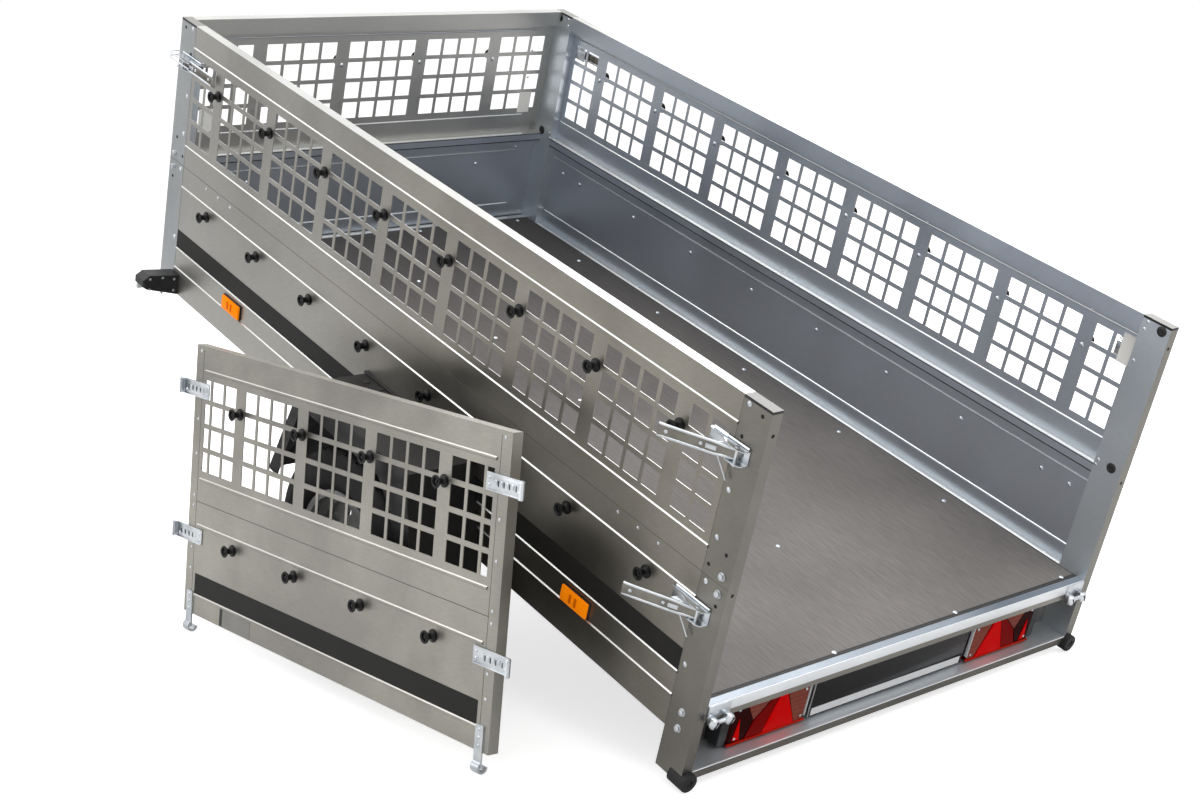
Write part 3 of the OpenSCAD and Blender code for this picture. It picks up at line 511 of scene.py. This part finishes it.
# dark film along the lower panels
STRIPE_LOW, STRIPE_HIGH = 238, 291
bm = bmesh.new()
for low in (-HALF - 0.5, HALF + 0.1):
    block(bm, (low, POST + 1, STRIPE_LOW), (low + 0.4, BED_LENGTH - POST - 1, STRIPE_HIGH))
piece("side_stripes", bm, FILM, BED)
bm = bmesh.new()
block(bm, (-579, -0.5, STRIPE_LOW), (579, -0.1, STRIPE_HIGH))
piece("tailgate_stripe", bm, FILM, GATE)

# ---------------------------------------------------------------- fasteners
# places along a corner post, as distance from the post's open edge and height
POST_SCREWS = [(63, 866), (63, 676), (63, 568), (64, 465), (65, 262)]
POST_BOLTS = [(25, 498), (24, 458)]
FOOT_BOLTS = [(40, 158), (41, 117)]
POST_HOLES = [(63, 795), (24, 858), (28, 546), (68, 503), (23, 429)]
INNER_SCREWS = [(64, 867), (68, 847), (68, 765), (71, 495), (74, 480)]
INNER_PLUGS = [(23, 861), (31, 492)]
# open edges of the rear and front posts, and which way their places run from there
CORNERS = [(0, 1), (BED_LENGTH, -1)]
# places along the load bed, of the rivets in the side panels' joint and top edge and of the floor's screws
JOINT_RIVETS = (214, 281, 348, 2028, 2095, 2162)
TOP_RIVETS = (233, 780, 1594, 2140)
FLOOR_SCREW_ROWS = (428, 820, 1212, 1604, 1996)
# heights of the rivets in the tailgate's end rails
GATE_RIVETS = (205, 300, 355, 465, 492, 600, 690, 865)


def on_side(side, x, along, up, outwards=True):
    """On a side of the load bed, its axis pointing outwards or inwards."""
    return side @ move(x, along, up) @ turn(90 if outwards else -90, "Y")


screws = bmesh.new()
holes = bmesh.new()
for side in SIDES:
    for start, way in CORNERS:
        stamp(screws, BUTTON, [on_side(side, HALF, start + way * y, z) for y, z in POST_SCREWS])
        stamp(screws, BOLT, [on_side(side, HALF, start + way * y, z) for y, z in POST_BOLTS])
        stamp(screws, RIVET, [on_side(side, INNER_HALF, start + way * y, z, False) for y, z in INNER_SCREWS])
        stamp(holes, PLUG, [on_side(side, HALF, start + way * y, z) for y, z in POST_HOLES])
    stamp(screws, BOLT, [on_side(side, HALF, y, z) for y, z in FOOT_BOLTS])
    stamp(holes, PLUG, [side @ move(645, 0, z) @ turn(90, "X") for z in (825, 464)])
    stamp(screws, RIVET, [on_side(side, HALF, y, 465) for y in JOINT_RIVETS])
    stamp(screws, RIVET, [on_side(side, SKIN, y, 820, False) for y in TOP_RIVETS])
    # screw ends of the cover knobs, on the inside of the panels
    stamp(screws, BUTTON, [on_side(side, SKIN, BED_LENGTH / 2 + x, z, False)
                           for x in BARS_SIDE for z in KNOB_SCREWS_AT])
    stamp(screws, BUTTON, [on_side(side, SKIN, y, 381, False) for y in (141, 2235)])
    # ledge beside the floor
    stamp(screws, RIVET, [side @ move(646, 137 + BAR_PITCH * i, FLOOR_TOP) for i in range(9)])
# coach screws that hold the plywood, at its rear edge, over the cross members and at its front edge
stamp(screws, BUTTON, [BED @ move(x, 36, FLOOR_TOP) for x in (-600, -223, 185, 586)])
stamp(screws, BUTTON, [BED @ move(x, y, FLOOR_TOP) for x in (-583, -24, 583) for y in FLOOR_SCREW_ROWS])
stamp(screws, BUTTON, [BED @ move(x, 2326, FLOOR_TOP) for x in (-583, -200, 200, 583)])
# front wall: screw ends of the knobs and joint rivets
stamp(screws, BUTTON, [FRONT @ into(x, z, SHEET_T) for x in BARS_END for z in KNOB_SCREWS_AT])
stamp(screws, RIVET, [FRONT @ into(x, z, SHEET_T) for x in (-560, 560) for z in (427, 661, 749)])
stamp(screws, RIVET, [FRONT @ out_of(x, z) for x in (-600, -200, 200, 600) for z in (465, 500, 205)])
# tailgate: rivets of its end rails, and screw ends of its knobs
stamp(screws, RIVET, [GATE @ out_of(x, z) for x in (-603, 603) for z in GATE_RIVETS])
stamp(screws, BUTTON, [GATE @ into(x, z, SHEET_T) for x in BARS_END for z in KNOBS_AT])
piece("screws_and_rivets", screws, ZINC, smooth=30)

bm = bmesh.new()
bung = turned([(13, 0), (13, 1.0), (11.5, 2.2), (6, 2.8), (5, 1.8), (0, 1.6)], 20)
for side in SIDES:
    for start, way in CORNERS:
        stamp(bm, bung, [on_side(side, INNER_HALF, start + way * y, z, False) for y, z in INNER_PLUGS])
piece("post_bungs", bm, CAP)
piece("post_holes", holes, HOLE)

# joint between lower and upper panels, and the folded edge of the corner posts
bm = bmesh.new()
for low in (-HALF - 0.25, HALF - 0.15):
    for y in (POST - 0.2, BED_LENGTH - POST - 0.5):
        block(bm, (low, y, SIDE_BOTTOM), (low + 0.4, y + 0.7, BED_HEIGHT - 4))
    block(bm, (low, 0.5, JOINT_HEIGHT - 0.6), (low + 0.4, BED_LENGTH - 0.5, JOINT_HEIGHT + 0.6))
block(bm, (-INNER_HALF, BED_LENGTH - 0.1, JOINT_HEIGHT - 0.7),
      (INNER_HALF, BED_LENGTH + 0.3, JOINT_HEIGHT + 0.7))
piece("panel_seams", bm, SEAM, BED)
bm = bmesh.new()
for x in (-592, 591):
    block(bm, (x, -0.3, 184), (x + 1, 0.2, 868))
block(bm, (-591, -0.3, 477), (591, 0.2, 478.6))
piece("tailgate_seams", bm, SEAM, GATE)

# painted shadow: dark strips in the gaps round the plywood floor and under the folds inside the panels
bm = bmesh.new()
block(bm, (-INNER_HALF, 22.2, 187), (INNER_HALF, 27, 189.6))
block(bm, (-INNER_HALF, 29.5, 187), (INNER_HALF, 34, 188.8))
block(bm, (-INNER_HALF, BED_LENGTH - 6, 187), (INNER_HALF, BED_LENGTH - 3, 189.0))
for low, high in ((455.6, 458.6), (476.6, 478.4)):
    block(bm, (-INNER_HALF, BED_LENGTH - WALL - 0.3, low), (INNER_HALF, BED_LENGTH - WALL + 0.2, high))
    for x in (-INNER_HALF - 0.2, INNER_HALF - 0.3):
        block(bm, (x, POST, low), (x + 0.5, BED_LENGTH - POST, high))
for x in (-INNER_HALF - 1.4, INNER_HALF - 1.4):
    block(bm, (x, 30, 187), (x + 2.8, BED_LENGTH - WALL, 188.5))
piece("floor_edge_gaps", bm, DARK_SEAM, BED)

# pressed lines on the inner faces, and the rounded noses of the rear sill and the trough, pale for a painted
# highlight
bm = bmesh.new()
for z in (233, 417, 537, 816):
    x = HALF - 1.6
    y = BED_LENGTH - 1.6
    stamp(bm, wire([(x, 84, z), (x, BED_LENGTH - 84, z)], 3.0, rounded=False), SIDES)
    stamp(bm, wire([(-560, y, z), (560, y, z)], 3.0, rounded=False), [BED])
for inset, z in ((4, 480.0), (10, 480.0), (5, 187.8), (10, 187.8)):
    x = INNER_HALF + inset
    y = BED_LENGTH - WALL + inset
    stamp(bm, wire([(x, 84, z), (x, BED_LENGTH - 84, z)], 1.3, rounded=False), SIDES)
    stamp(bm, wire([(-560, y, z), (560, y, z)], 1.3, rounded=False), [BED])
piece("pressed_lines", bm, PRESSED)
bm = bmesh.new()
block(bm, (-629, -0.8, 165), (629, 1.5, 190.6), 0.7)
stamp(bm, wire([(-629, 0.8, 22.2), (629, 0.8, 22.2)], 1.7, rounded=False))
piece("sill_and_trough_noses", bm, SILL_EDGE, BED)

# black skirt of the post caps, a little proud of the posts
PROUD = 0.25
bm = bmesh.new()
for y in (0, BED_LENGTH - POST):
    skirt = bmesh.new()
    block(skirt, (INNER_HALF - PROUD, y - PROUD, 873), (HALF + PROUD, y + POST + PROUD, 877.8), 0.2)
    stamp(bm, as_mesh(skirt), SIDES)
piece("cap_skirts", bm, PLASTIC)

# hinge brackets of the tailgate, with their slotted heads
HINGE_HEAD = turned([(0, 0), (13, 0), (13, 3), (11, 7), (7, 9.4), (0, 10.4)], 28)
bm = bmesh.new()
bracket = bmesh.new()
block(bracket, (566, -4, 160), (630, -0.2, 190), 1.6)
stamp(bracket, wire([(569, -13.2, 154), (627, -13.2, 154)], 5, rounded=False))
for x in (576, 620):
    block(bracket, (x - 7, -17, 145), (x + 7, -1, 166), 3)
    stamp(bracket, HINGE_HEAD, [out_of(x, 154, 14)])
    slot = bmesh.new()
    block(slot, (-8.5, -1.4, 8.4), (8.5, 1.4, 11), 0, 1)
    stamp(bracket, as_mesh(slot), [out_of(x, 154, 14) @ turn(-62, "Z")])
stamp(bm, as_mesh(bracket), SIDES)
hinges = piece("tailgate_hinges", bm, [ZINC, HOLE])
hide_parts("hinge_pins")

# ---------------------------------------------------------------- latches
# where the latch lever hangs on its base plate, and the finish of the lever's web
LEVER_PIN = move(14, 20, 0)
DULL_WEB = 1


def latch_parts(angle, closed=False):
    """Over-centre latch, from the panel outwards along X and along the side in Y."""
    bm = bmesh.new()
    block(bm, (0, -4, -17), (2.2, 109, 17), 0.8)
    cheek = [(0, -4), (0, 109), (8, 107), (11, 66), (20, 50), (25, 34), (25, 10), (20, 0), (8, -4)]
    for low in (-17, 15):
        stamp(bm, slab([(x, y, low) for x, y in cheek], (0, 0, 2)))
    stamp(bm, wire([(3, -2, 20), (3, 100, 20)], 2.4, rounded=False))
    pin = turned([(0, -19), (4.5, -19), (4.5, -17), (3, -17), (3, 17), (4.5, 17), (4.5, 19), (0, 19)], 16)
    stamp(bm, pin, [LEVER_PIN])
    lever = bmesh.new()
    block(lever, (-1, 30, -11.5), (1, 162, 11.5), 0.6, DULL_WEB)
    block(lever, (-1, -6, -8.5), (1, 31, 8.5), 0.6, DULL_WEB)
    for end in (-1, 1):
        stamp(lever, wire([(-2, 2, end * 10), (0, 24, end * 10), (0, 40, end * 12.6), (0, 80, end * 12.6),
                           (0, 150, end * 12.6), (-2, 161, end * 12.6)], 3.0))
        block(lever, (-8, 0, end * 11.6 - 0.6), (0, 64, end * 11.6 + 0.6), 0.4)
    stamp(lever, RIVET, [move(1, y, 0) @ turn(90, "Y") for y in (72, 144)])
    block(lever, (0.6, 40, -5), (2.6, 62, 5), 0.8)
    stamp(bm, as_mesh(lever), [LEVER_PIN @ turn(-angle, "Z")])
    if closed:
        loop = [(21, -20), (20, -44), (12, -56), (-14, -57)]
        for end in (-1, 1):
            stamp(bm, wire([(17, 60, end * 7), (20, 10, end * 7)] + [(x, y, end * 6) for x, y in loop], 2.1))
    else:
        for loop in ([(34, 60, 8), (30, 54, 14), (24, 48, 13), (20, 38, -6), (16, 27, -23), (10, 22, -28)],
                     [(34, 66, -6), (18, 66, -20), (12, 60, -35), (9, 44, -57), (8, 37, -67)]):
            stamp(bm, wire(loop, 2.0))
    return as_mesh(bm)


# the rear latches hang open since the tailgate is off; the front ones are closed, and face the other way
OPEN_LATCH = latch_parts(31)
CLOSED_LATCH = latch_parts(0, True)
FORWARDS = Matrix.Diagonal((1, -1, 1, 1))
bm = bmesh.new()
for side in SIDES:
    stamp(bm, OPEN_LATCH, [side @ move(HALF + 0.2, 34, z) for z in (KNOB_LOW + 7, KNOB_HIGH + 28)])
    stamp(bm, CLOSED_LATCH, [side @ move(HALF + 0.2, BED_LENGTH - 30, KNOB_HIGH + 36) @ FORWARDS])
latches = piece("over_centre_latches", bm, [ZINC, ZINC_DULL])
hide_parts("toggle_latches")

# striker plates at the ends of the tailgate, embossed and slotted, with their ends curled out
bm = bmesh.new()
slots = bmesh.new()
for end in (GATE, GATE @ MIRROR):
    for z in (KNOB_LOW + 1, KNOB_HIGH + 32):
        striker = bmesh.new()
        block(striker, (554, -3.4, z - 19), (676, -0.4, z + 19), 1.0)
        for low in (z - 20, z + 17):
            block(striker, (556, -5.8, low), (674, -0.6, low + 3), 1.2)
        for x in (586, 604, 622, 640):
            block(striker, (x - 5, -5.0, z - 5), (x + 5, -3.0, z + 7), 1.4)
        curl = wire([(670, -2, z), (678, -4, z), (682, -9, z), (680, -13.6, z), (674, -13.4, z)], 1.6)
        for offset in range(-18, 19, 2):
            stamp(striker, curl, [move(0, 0, offset)])
        stamp(striker, RIVET, [out_of(x, z + rise, 3.4) for x, rise in ((564, -8), (564, 8), (660, -8))])
        stamp(bm, as_mesh(striker), [end])
        for x in (595, 613, 631, 652):
            hole = bmesh.new()
            block(hole, (x - 1.6, -3.7, z - 7), (x + 1.6, -3.3, z + 5))
            stamp(slots, as_mesh(hole), [end])
    # straps of the two lower hooks
    stamp(bm, RIVET, [end @ out_of(595, z, 4.2) for z in (196, 214, 232)])
strikers = piece("tailgate_strikers", bm, ZINC)
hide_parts("tailgate_keepers")
piece("striker_slots", slots, HOLE)

# ---------------------------------------------------------------- tail lamps
# the lamp's finishes in the order of LAMP_FINISH
DEEP, HOUSING, RIBBED, BRIGHT, RIM, STRIP, SCREW, SHADED = range(8)
LAMP_FINISH = [RED_DEEP, PLASTIC, RED_CLEAR, RED, RED_RIM, CLEAR, ZINC, RED_BLACK]
# lens facets from the plate's side outwards and upwards, each as outline, finish and height
LENS_FACETS = [
    ([(0.02, 0.04), (0.13, 0.04), (0.32, 0.97), (0.02, 0.97)], RIBBED, 1.2),
    ([(0.14, 0.03), (0.34, 0.97), (0.40, 0.97), (0.56, 0.03)], BRIGHT, 3.0),
    ([(0.57, 0.03), (0.41, 0.97), (0.45, 0.97), (0.70, 0.45), (0.78, 0.03)], DEEP, 2.0),
    ([(0.47, 0.97), (0.84, 0.97), (0.71, 0.47)], RIBBED, 1.4),
    ([(0.80, 0.03), (0.98, 0.03), (0.98, 0.97), (0.86, 0.97), (0.72, 0.45)], SHADED, 1.0),
    ([(0.85, 0.08), (0.94, 0.10), (0.90, 0.62)], BRIGHT, 2.6),
]


def lamp_mesh(inner):
    """Rear lamp: black housing, faceted red lens and clear strip; inner is the plate's side, 1 or -1."""
    bm = bmesh.new()
    left, wide, low, tall = 142.5 * inner, -235 * inner, 28, 108
    near, far = sorted((left, left + wide))
    block(bm, (-117, 34, 30), (117, 75.5, 134), 3, HOUSING)
    block(bm, (near + 2, 34, 32), (far - 2, 75, 132), 2, HOUSING)
    block(bm, (near, 31, 28), (far, 47, 136), 4, SHADED)
    block(bm, (near, 26, 28), (far, 32, 32.5), 1.4, RIM)
    block(bm, (near, 26.5, 133), (far, 32, 136), 1.2, SHADED)
    for outline, finish, height in LENS_FACETS:
        corners = [(left + wide * u, 31.2, low + tall * v) for u, v in outline]
        stamp(bm, slab(corners, (0, -height, 0), finish))
    edge = sorted((left - 3 * inner, left))
    block(bm, (edge[0], 27, 40), (edge[1], 45, 130), 1.0, STRIP)
    screw = turned([(3.6, 0), (3.4, 1), (2, 1.8), (0, 2)], 10, SCREW)
    stamp(bm, screw, [out_of(left + wide * u, z, -28.6)
                      for u, z in ((0.07, 116), (0.06, 44), (0.93, 120), (0.92, 44))])
    return as_mesh(bm)


for name, x, inner in (("left", -418, 1), ("right", 418, -1)):
    bm = bmesh.new()
    stamp(bm, lamp_mesh(inner), [move(x, 0, 0)])
    lamp = piece("tail_lamp_" + name + "_lens", bm, LAMP_FINISH, BED)
    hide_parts("tail_lamp_" + name)

# blank number plate: gloss black holder, white lower strip and two black ledges
bm = bmesh.new()
block(bm, (-255, 28.9, 32), (250, 30.2, 52), 0.3, 1)
block(bm, (-259.5, 29.4, 28.5), (259.5, 30.1, 137.5), 0.2, 0)
for z in (52, 136):
    block(bm, (-260, 28.4, z), (260, 30.2, z + 2), 0.5, 2)
stamp(bm, turned([(4.4, 0), (4, 1), (2, 1.8), (0, 2)], 10, 3), [out_of(x, 126, -29.4) for x in (-186, 186)])
piece("number_plate_face", bm, [PLATE_DARK, PLATE, PLASTIC, ZINC], BED)

# amber side reflectors with two bars, in a thin black tray
bm = bmesh.new()
for side in SIDES:
    for y in (367, BED_LENGTH - 367 - 95):
        tray = bmesh.new()
        block(tray, (HALF + 0.3, y, 180), (HALF + 4, y + 95, 222), 1.5, 1)
        block(tray, (HALF + 3, y + 1.5, 181.5), (HALF + 9.6, y + 93.5, 220.5), 3, 0)
        for bar in (y + 36, y + 54):
            block(tray, (HALF + 8.8, bar, 190), (HALF + 10.8, bar + 9, 213), 1.0, 2)
        stamp(bm, as_mesh(tray), [side])
reflectors = piece("side_reflector_lenses", bm, [AMBER, PLASTIC, AMBER_DEEP])
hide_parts("side_reflectors")

# front marker lamps: screws on the back plate, lens on its front
MARKER_SCREWS = [(676, 118), (676, 152), (712, 114), (712, 160), (750, 128), (750, 160)]
bm = bmesh.new()
for side in SIDES:
    lens = bmesh.new()
    block(lens, (682, 2308, 112), (764, 2319, 158), 4)
    stamp(lens, turned([(3.8, 0), (3.6, 1), (2, 1.8), (0, 2)], 10, 1),
          [out_of(x, z, -2263) for x, z in MARKER_SCREWS])
    stamp(bm, as_mesh(lens), [side])
piece("marker_lamp_lenses", bm, [CLEAR, ZINC])

# rubber stops at the foot of the rear posts
bm = bmesh.new()
stop = turned([(0, 0), (0, 3), (8, 3), (9, 0.5), (19, 0), (21.2, 1), (22, 4), (22, 49), (0, 49)], 36)
for side in SIDES:
    stamp(bm, stop, [side @ move(HALF - 15, -14, 5) @ turn(-90, "X")])
stops = piece("rubber_stops", bm, RUBBER)
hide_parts("rubber_buffers")

# blank labels: one inside the right panel, two on the front wall, and the tailgate's rating plate
bm = bmesh.new()
block(bm, (656.6, 92, 732), (657.9, 128, 808))
for x, y in ((-585, 2372.9), (539, 2373.0)):
    block(bm, (x, y, 545), (x + 46, 2373.9, 612))
piece("blank_labels", bm, LABEL, BED)
bm = bmesh.new()
block(bm, (-440, -0.5, 184), (-312, -0.1, 229))
block(bm, (-453, -0.5, 184), (-441, -0.1, 229), 0, 1)
piece("tailgate_rating_plate", bm, [LABEL_GREY, PLASTIC], GATE)

# ---------------------------------------------------------------- wheels
TYRE_STEPS = 144


def tyre_mesh():
    """Tyre with rounded sidewalls, a rim-protecting rib, four grooves and sipes in its ribs."""
    profile = [(166, 42), (166, 57), (180, 58), (192, 67), (206, 71.2), (217, 72.3), (230, 71.8),
               (240, 72.4), (243, 71.4), (256, 69), (266, 65), (273, 60), (277, 54), (278.4, 46),
               (279.2, 40), (274.5, 39), (274.5, 35), (279.6, 34), (280.6, 20), (280.8, 14), (275, 13),
               (275, 8), (281, 7), (281, 0)]
    ring = profile + [(radius, -height) for radius, height in reversed(profile[:-1])]
    inside = [(166, -42), (182, -48), (215, -61), (262, -54), (265, -30), (265, 30), (262, 54),
              (215, 61), (182, 48)]
    bm = bmesh.new()
    points = [bm.verts.new((radius, 0, height)) for radius, height in ring + inside[1:]]
    for first, second in zip(points, points[1:] + points[:1]):
        bm.edges.new((first, second))
    bmesh.ops.spin(bm, geom=bm.verts[:] + bm.edges[:], cent=(0, 0, 0), axis=(0, 0, 1), dvec=(0, 0, 0),
                   angle=2 * pi, steps=TYRE_STEPS, use_merge=True, use_duplicate=False)
    bmesh.ops.remove_doubles(bm, verts=bm.verts, dist=0.001)
    bmesh.ops.recalc_face_normals(bm, faces=bm.faces)
    sipes = []
    for face in bm.faces:
        middle = face.calc_center_median()
        across = abs(middle.z)
        step = round(atan2(middle.y, middle.x) / (2 * pi) * TYRE_STEPS - 0.5)
        shoulder = 40 < across < 62 and step % 4 == 0
        rib = 16 < across < 34 and step % 6 == (1 if middle.z > 0 else 4)
        if hypot(middle.x, middle.y) > 272 and (shoulder or rib):
            sipes.append(face)
    bmesh.ops.inset_individual(bm, faces=sipes, thickness=0.6, depth=-4.2)
    return as_mesh(bm)


TREAD = tyre_mesh()
wheel_bolt = bolt_mesh(17, 12, 11)
cap_mesh = turned([(30, 0), (30, 4), (27, 14), (24, 17), (8, 19), (0, 19)], 28)
valve = turned([(0, 0), (5, 0), (5, 10), (3.4, 14), (3.4, 30), (4, 31), (4, 38), (0, 38)], 10)
for name, side in (("left", BED @ MIRROR), ("right", BED)):
    hub = side @ move(WHEEL_X, AXLE_Y, AXLE_Z) @ turn(90, "Y")
    bm = bmesh.new()
    stamp(bm, TREAD, [hub])
    tyre = piece("tyre_" + name + "_treaded", bm, TYRE, body="wheel_" + name, smooth=28)
    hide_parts("tyre_" + name)
    bm = bmesh.new()
    stamp(bm, cap_mesh, [hub @ move(0, 0, 51)])
    stamp(bm, wheel_bolt, [hub @ turn(72 * i, "Z") @ move(56, 0, 29) for i in range(5)])
    stamp(bm, valve, [hub @ turn(20, "Z") @ move(130, 0, 14) @ turn(14, "Y")])
    piece("wheel_trim_" + name, bm, ZINC, body="wheel_" + name)

# mudguards: black gasket along the side, stiffening crease across the top and its bolts
GUARD_BOLT = turned([(9, 0), (8.6, 1.5), (5, 3), (0, 3.4)], 14)
bm = bmesh.new()
for side in SIDES:
    strip = bmesh.new()
    block(strip, (HALF + 0.4, AXLE_Y - 240, 324.5), (HALF + 9, AXLE_Y + 240, 330), 1.5)
    block(strip, (HALF + 6, 1203, 325.0), (849, 1209, 327.4), 1.0)
    for y in (AXLE_Y - 190, AXLE_Y + 190):
        stamp(strip, GUARD_BOLT, [move(690, y, 326), move(830, y, 326)])
    stamp(bm, as_mesh(strip), [side])
piece("mudguard_gaskets", bm, PLASTIC)

# bolts of the axle, brackets and drawbar pivot
bm = bmesh.new()
for side in SIDES:
    stamp(bm, BIG_BOLT, [side @ move(600, y, -3.8) @ turn(180, "X") for y in (1125, 1205)])
    stamp(bm, BIG_BOLT, [side @ move(36, y, 23) for y in (1148, 1182)])
piece("axle_bolts", bm, ZINC)

# ---------------------------------------------------------------- drawbar, coupling and jockey wheel
COUPLING_Y, JOCKEY_X, JOCKEY_Y, JOCKEY_DROP = 2161, 77, 1511, 426
bm = bmesh.new()
block(bm, (-34.5, 1932, -34.5), (34.5, 2020, 34.5), 5)
block(bm, (-24, 2016, -22), (24, 2136, 24), 8)
for end in (-1, 1):
    block(bm, (end * 22 - 3, 2040, -27), (end * 22 + 3, 2150, -12), 2)
shell = turned([(0, 15.2), (12.6, 11.8), (21.8, 2.6), (25.2, -10), (25.2, -32), (34, -32), (36, -29),
                (36, 12), (33.5, 23), (26, 30), (14, 32), (0, 32)], 40)
stamp(bm, shell, [move(0, COUPLING_Y, 0)])
stamp(bm, BIG_BOLT, [move(end * 34.5, y, 0) @ turn(90 * end, "Y") for end in (-1, 1) for y in (1954, 1998)])
coupling = piece("coupling_shell", bm, ZINC, BAR, "drawbar")
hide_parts("coupling_head")
bm = bmesh.new()
block(bm, (-12, 2142, 30), (12, 2176, 53), 5)
block(bm, (-10, 2020, 44.5), (10, 2152, 52), 3)
block(bm, (-13, 2011.5, 42.5), (13, 2072, 54), 4.5, 1)
lever = piece("coupling_lever", bm, [ZINC, PLASTIC], BAR, "drawbar")
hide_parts("coupling_handle")

# jockey wheel: rubber tread outside the groove of its disc
GROOVE_R = 60
half_wheel = [(7, -29), (20, -29), (24, -19), (58, -14), (62, -20), (70, -25.5), (84, -27.8), (93, -25),
              (98, -18), (99.6, -9)]
other_half = [(radius, -height) for radius, height in reversed(half_wheel)]
wheel = turned(half_wheel + [(100, 0)] + other_half + half_wheel[:1], 48)
for face in wheel.polygons:
    face.material_index = 0 if hypot(face.center.x, face.center.y) > GROOVE_R else 1
bm = bmesh.new()
stamp(bm, wheel, [move(JOCKEY_X, JOCKEY_Y + 38, -JOCKEY_DROP) @ turn(90, "Y")])
jockey = piece("jockey_wheel_tyre", bm, [RUBBER, ENAMEL], BAR, "jockey_wheel")
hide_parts("jockey_tyre")

bm = bmesh.new()
grip = turned([(0, 0), (10, 0), (12.6, 3), (13, 10), (11.8, 30), (13, 58), (12.4, 64), (9, 67), (0, 67)], 24)
stamp(bm, grip, [move(JOCKEY_X, JOCKEY_Y - 120, 352)])
piece("crank_grip", bm, PLASTIC, BAR, "drawbar")
bm = bmesh.new()
collar = turned([(30.4, 0), (34, 0), (34, 14), (30.4, 14), (30.4, 0)], 36)
stamp(bm, collar, [move(JOCKEY_X, JOCKEY_Y, z) for z in (34, 300)])
stamp(bm, wire([(111, JOCKEY_Y, 0), (146, JOCKEY_Y, 0)], 6, rounded=False))
stamp(bm, wire([(146, JOCKEY_Y - 34, -22), (148, JOCKEY_Y, 0), (146, JOCKEY_Y + 34, 22)], 5.5))
stamp(bm, BIG_BOLT, [move(38.4, JOCKEY_Y + y, z) @ turn(90, "Y") for y in (-34, 34) for z in (-16, 16)])
stamp(bm, BIG_BOLT, [move(-30, JOCKEY_Y + y, 0) @ turn(-90, "Y") for y in (-34, 34)])
piece("jockey_clamp", bm, ZINC, BAR, "drawbar")

# pressed and moulded edges of the heavier parts are rounded
ROUNDED = {"mudguard_left": 1.6, "mudguard_right": 1.6, "drawbar_tube": 4.0, "position_lamps": 2.5,
           "axle_beam": 3.0, "rear_sill": 1.0}
for name, radius in ROUNDED.items():
    part = nodes[name]
    part.modifiers.new("joined_faces", "WELD").merge_threshold = 0.00001
    edge = part.modifiers.new("rounded_edges", "BEVEL")
    edge.width = radius * MM
    edge.segments = 2
    edge.limit_method = "ANGLE"
    edge.angle_limit = radians(50)

# ---------------------------------------------------------------- stage, lights and camera
scene = bpy.context.scene


def studio_floor():
    """Pale seamless floor: matt, white to the camera and still darkened by the trailer's shadow."""
    mat, tree, shader, _ = start_material("pale_studio_floor", Roughness=0.9, Base_Color=(0.9, 0.9, 0.9, 1),
                                          Emission_Color=colour("#FFFFFF"))
    seen = add_node(tree, "LightPath")
    direct = add_node(tree, "Math", {0: seen.outputs["Is Camera Ray"], 1: 0.7}, operation="MULTIPLY")
    mirrored = add_node(tree, "Math", {0: seen.outputs["Is Glossy Ray"], 1: 0.02}, operation="MULTIPLY")
    lift = add_node(tree, "Math", {0: direct, 1: mirrored}, operation="MAXIMUM")
    connect(tree, shader, {"Emission Strength": lift})
    return mat


bm = bmesh.new()
bmesh.ops.create_grid(bm, x_segments=1, y_segments=1, size=40)
floor_mesh = as_mesh(bm)
floor_mesh.name = "studio_floor"
floor_mesh.materials.append(studio_floor())
studio = bpy.data.objects.new("studio_floor", floor_mesh)
scene.collection.objects.link(studio)
studio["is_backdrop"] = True

world = bpy.data.worlds.new("studio")
scene.world = world
world.use_nodes = True
tree = world.node_tree
seen = add_node(tree, "LightPath")
# white where the camera, a reflection or a lens sees it, and dimmer as a light
shown = add_node(tree, "Math", {0: seen.outputs["Is Camera Ray"], 1: seen.outputs["Is Glossy Ray"]},
                 operation="MAXIMUM")
looked_at = add_node(tree, "Math", {0: shown, 1: seen.outputs["Is Transmission Ray"]}, operation="MAXIMUM")
strength = add_node(tree, "MapRange", {"Value": looked_at, "To Min": 0.45, "To Max": 1.0})
connect(tree, tree.nodes["Background"], {"Color": colour("#FFFFFF"), "Strength": strength})


def softbox(name, place, target, width, height, power):
    """A rectangular studio lamp that faces a target."""
    lamp = bpy.data.lights.new(name, "AREA")
    lamp.shape = "RECTANGLE"
    lamp.size = width
    lamp.size_y = height
    lamp.energy = power
    holder = bpy.data.objects.new(name, lamp)
    scene.collection.objects.link(holder)
    holder.location = place
    holder.rotation_euler = (Vector(target) - Vector(place)).to_track_quat("-Z", "Y").to_euler()


softbox("top_softbox", (-0.5, 1.0, 6.0), (-0.3, 0.6, 0.6), 7.0, 7.0, 280)
softbox("left_softbox", (-6.0, 2.0, 2.6), (0, 0, 0.7), 4.0, 3.0, 40)
softbox("far_softbox", (4.4, 1.2, 3.9), (0, -0.6, 0.5), 3.2, 3.0, 110)
softbox("rear_softbox", (1.2, -4.6, 4.2), (0.2, -1.0, 0.4), 3.0, 2.0, 60)

# the camera stands behind the trailer, off its left corner, and looks down along the load bed
CAMERA_AT = (-3.0221, -4.1889, 1.6843)
CAMERA_LOOKS = Vector((0.62223, 0.74906, -0.22746))
camera = bpy.data.cameras.new("camera")
camera.lens = 56.13
camera.sensor_width = 36
eye = bpy.data.objects.new("camera", camera)
scene.collection.objects.link(eye)
eye.location = CAMERA_AT
eye.rotation_euler = CAMERA_LOOKS.to_track_quat("-Z", "Y").to_euler()
scene.camera = eye
scene.view_settings.view_transform = "Standard"

low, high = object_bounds()
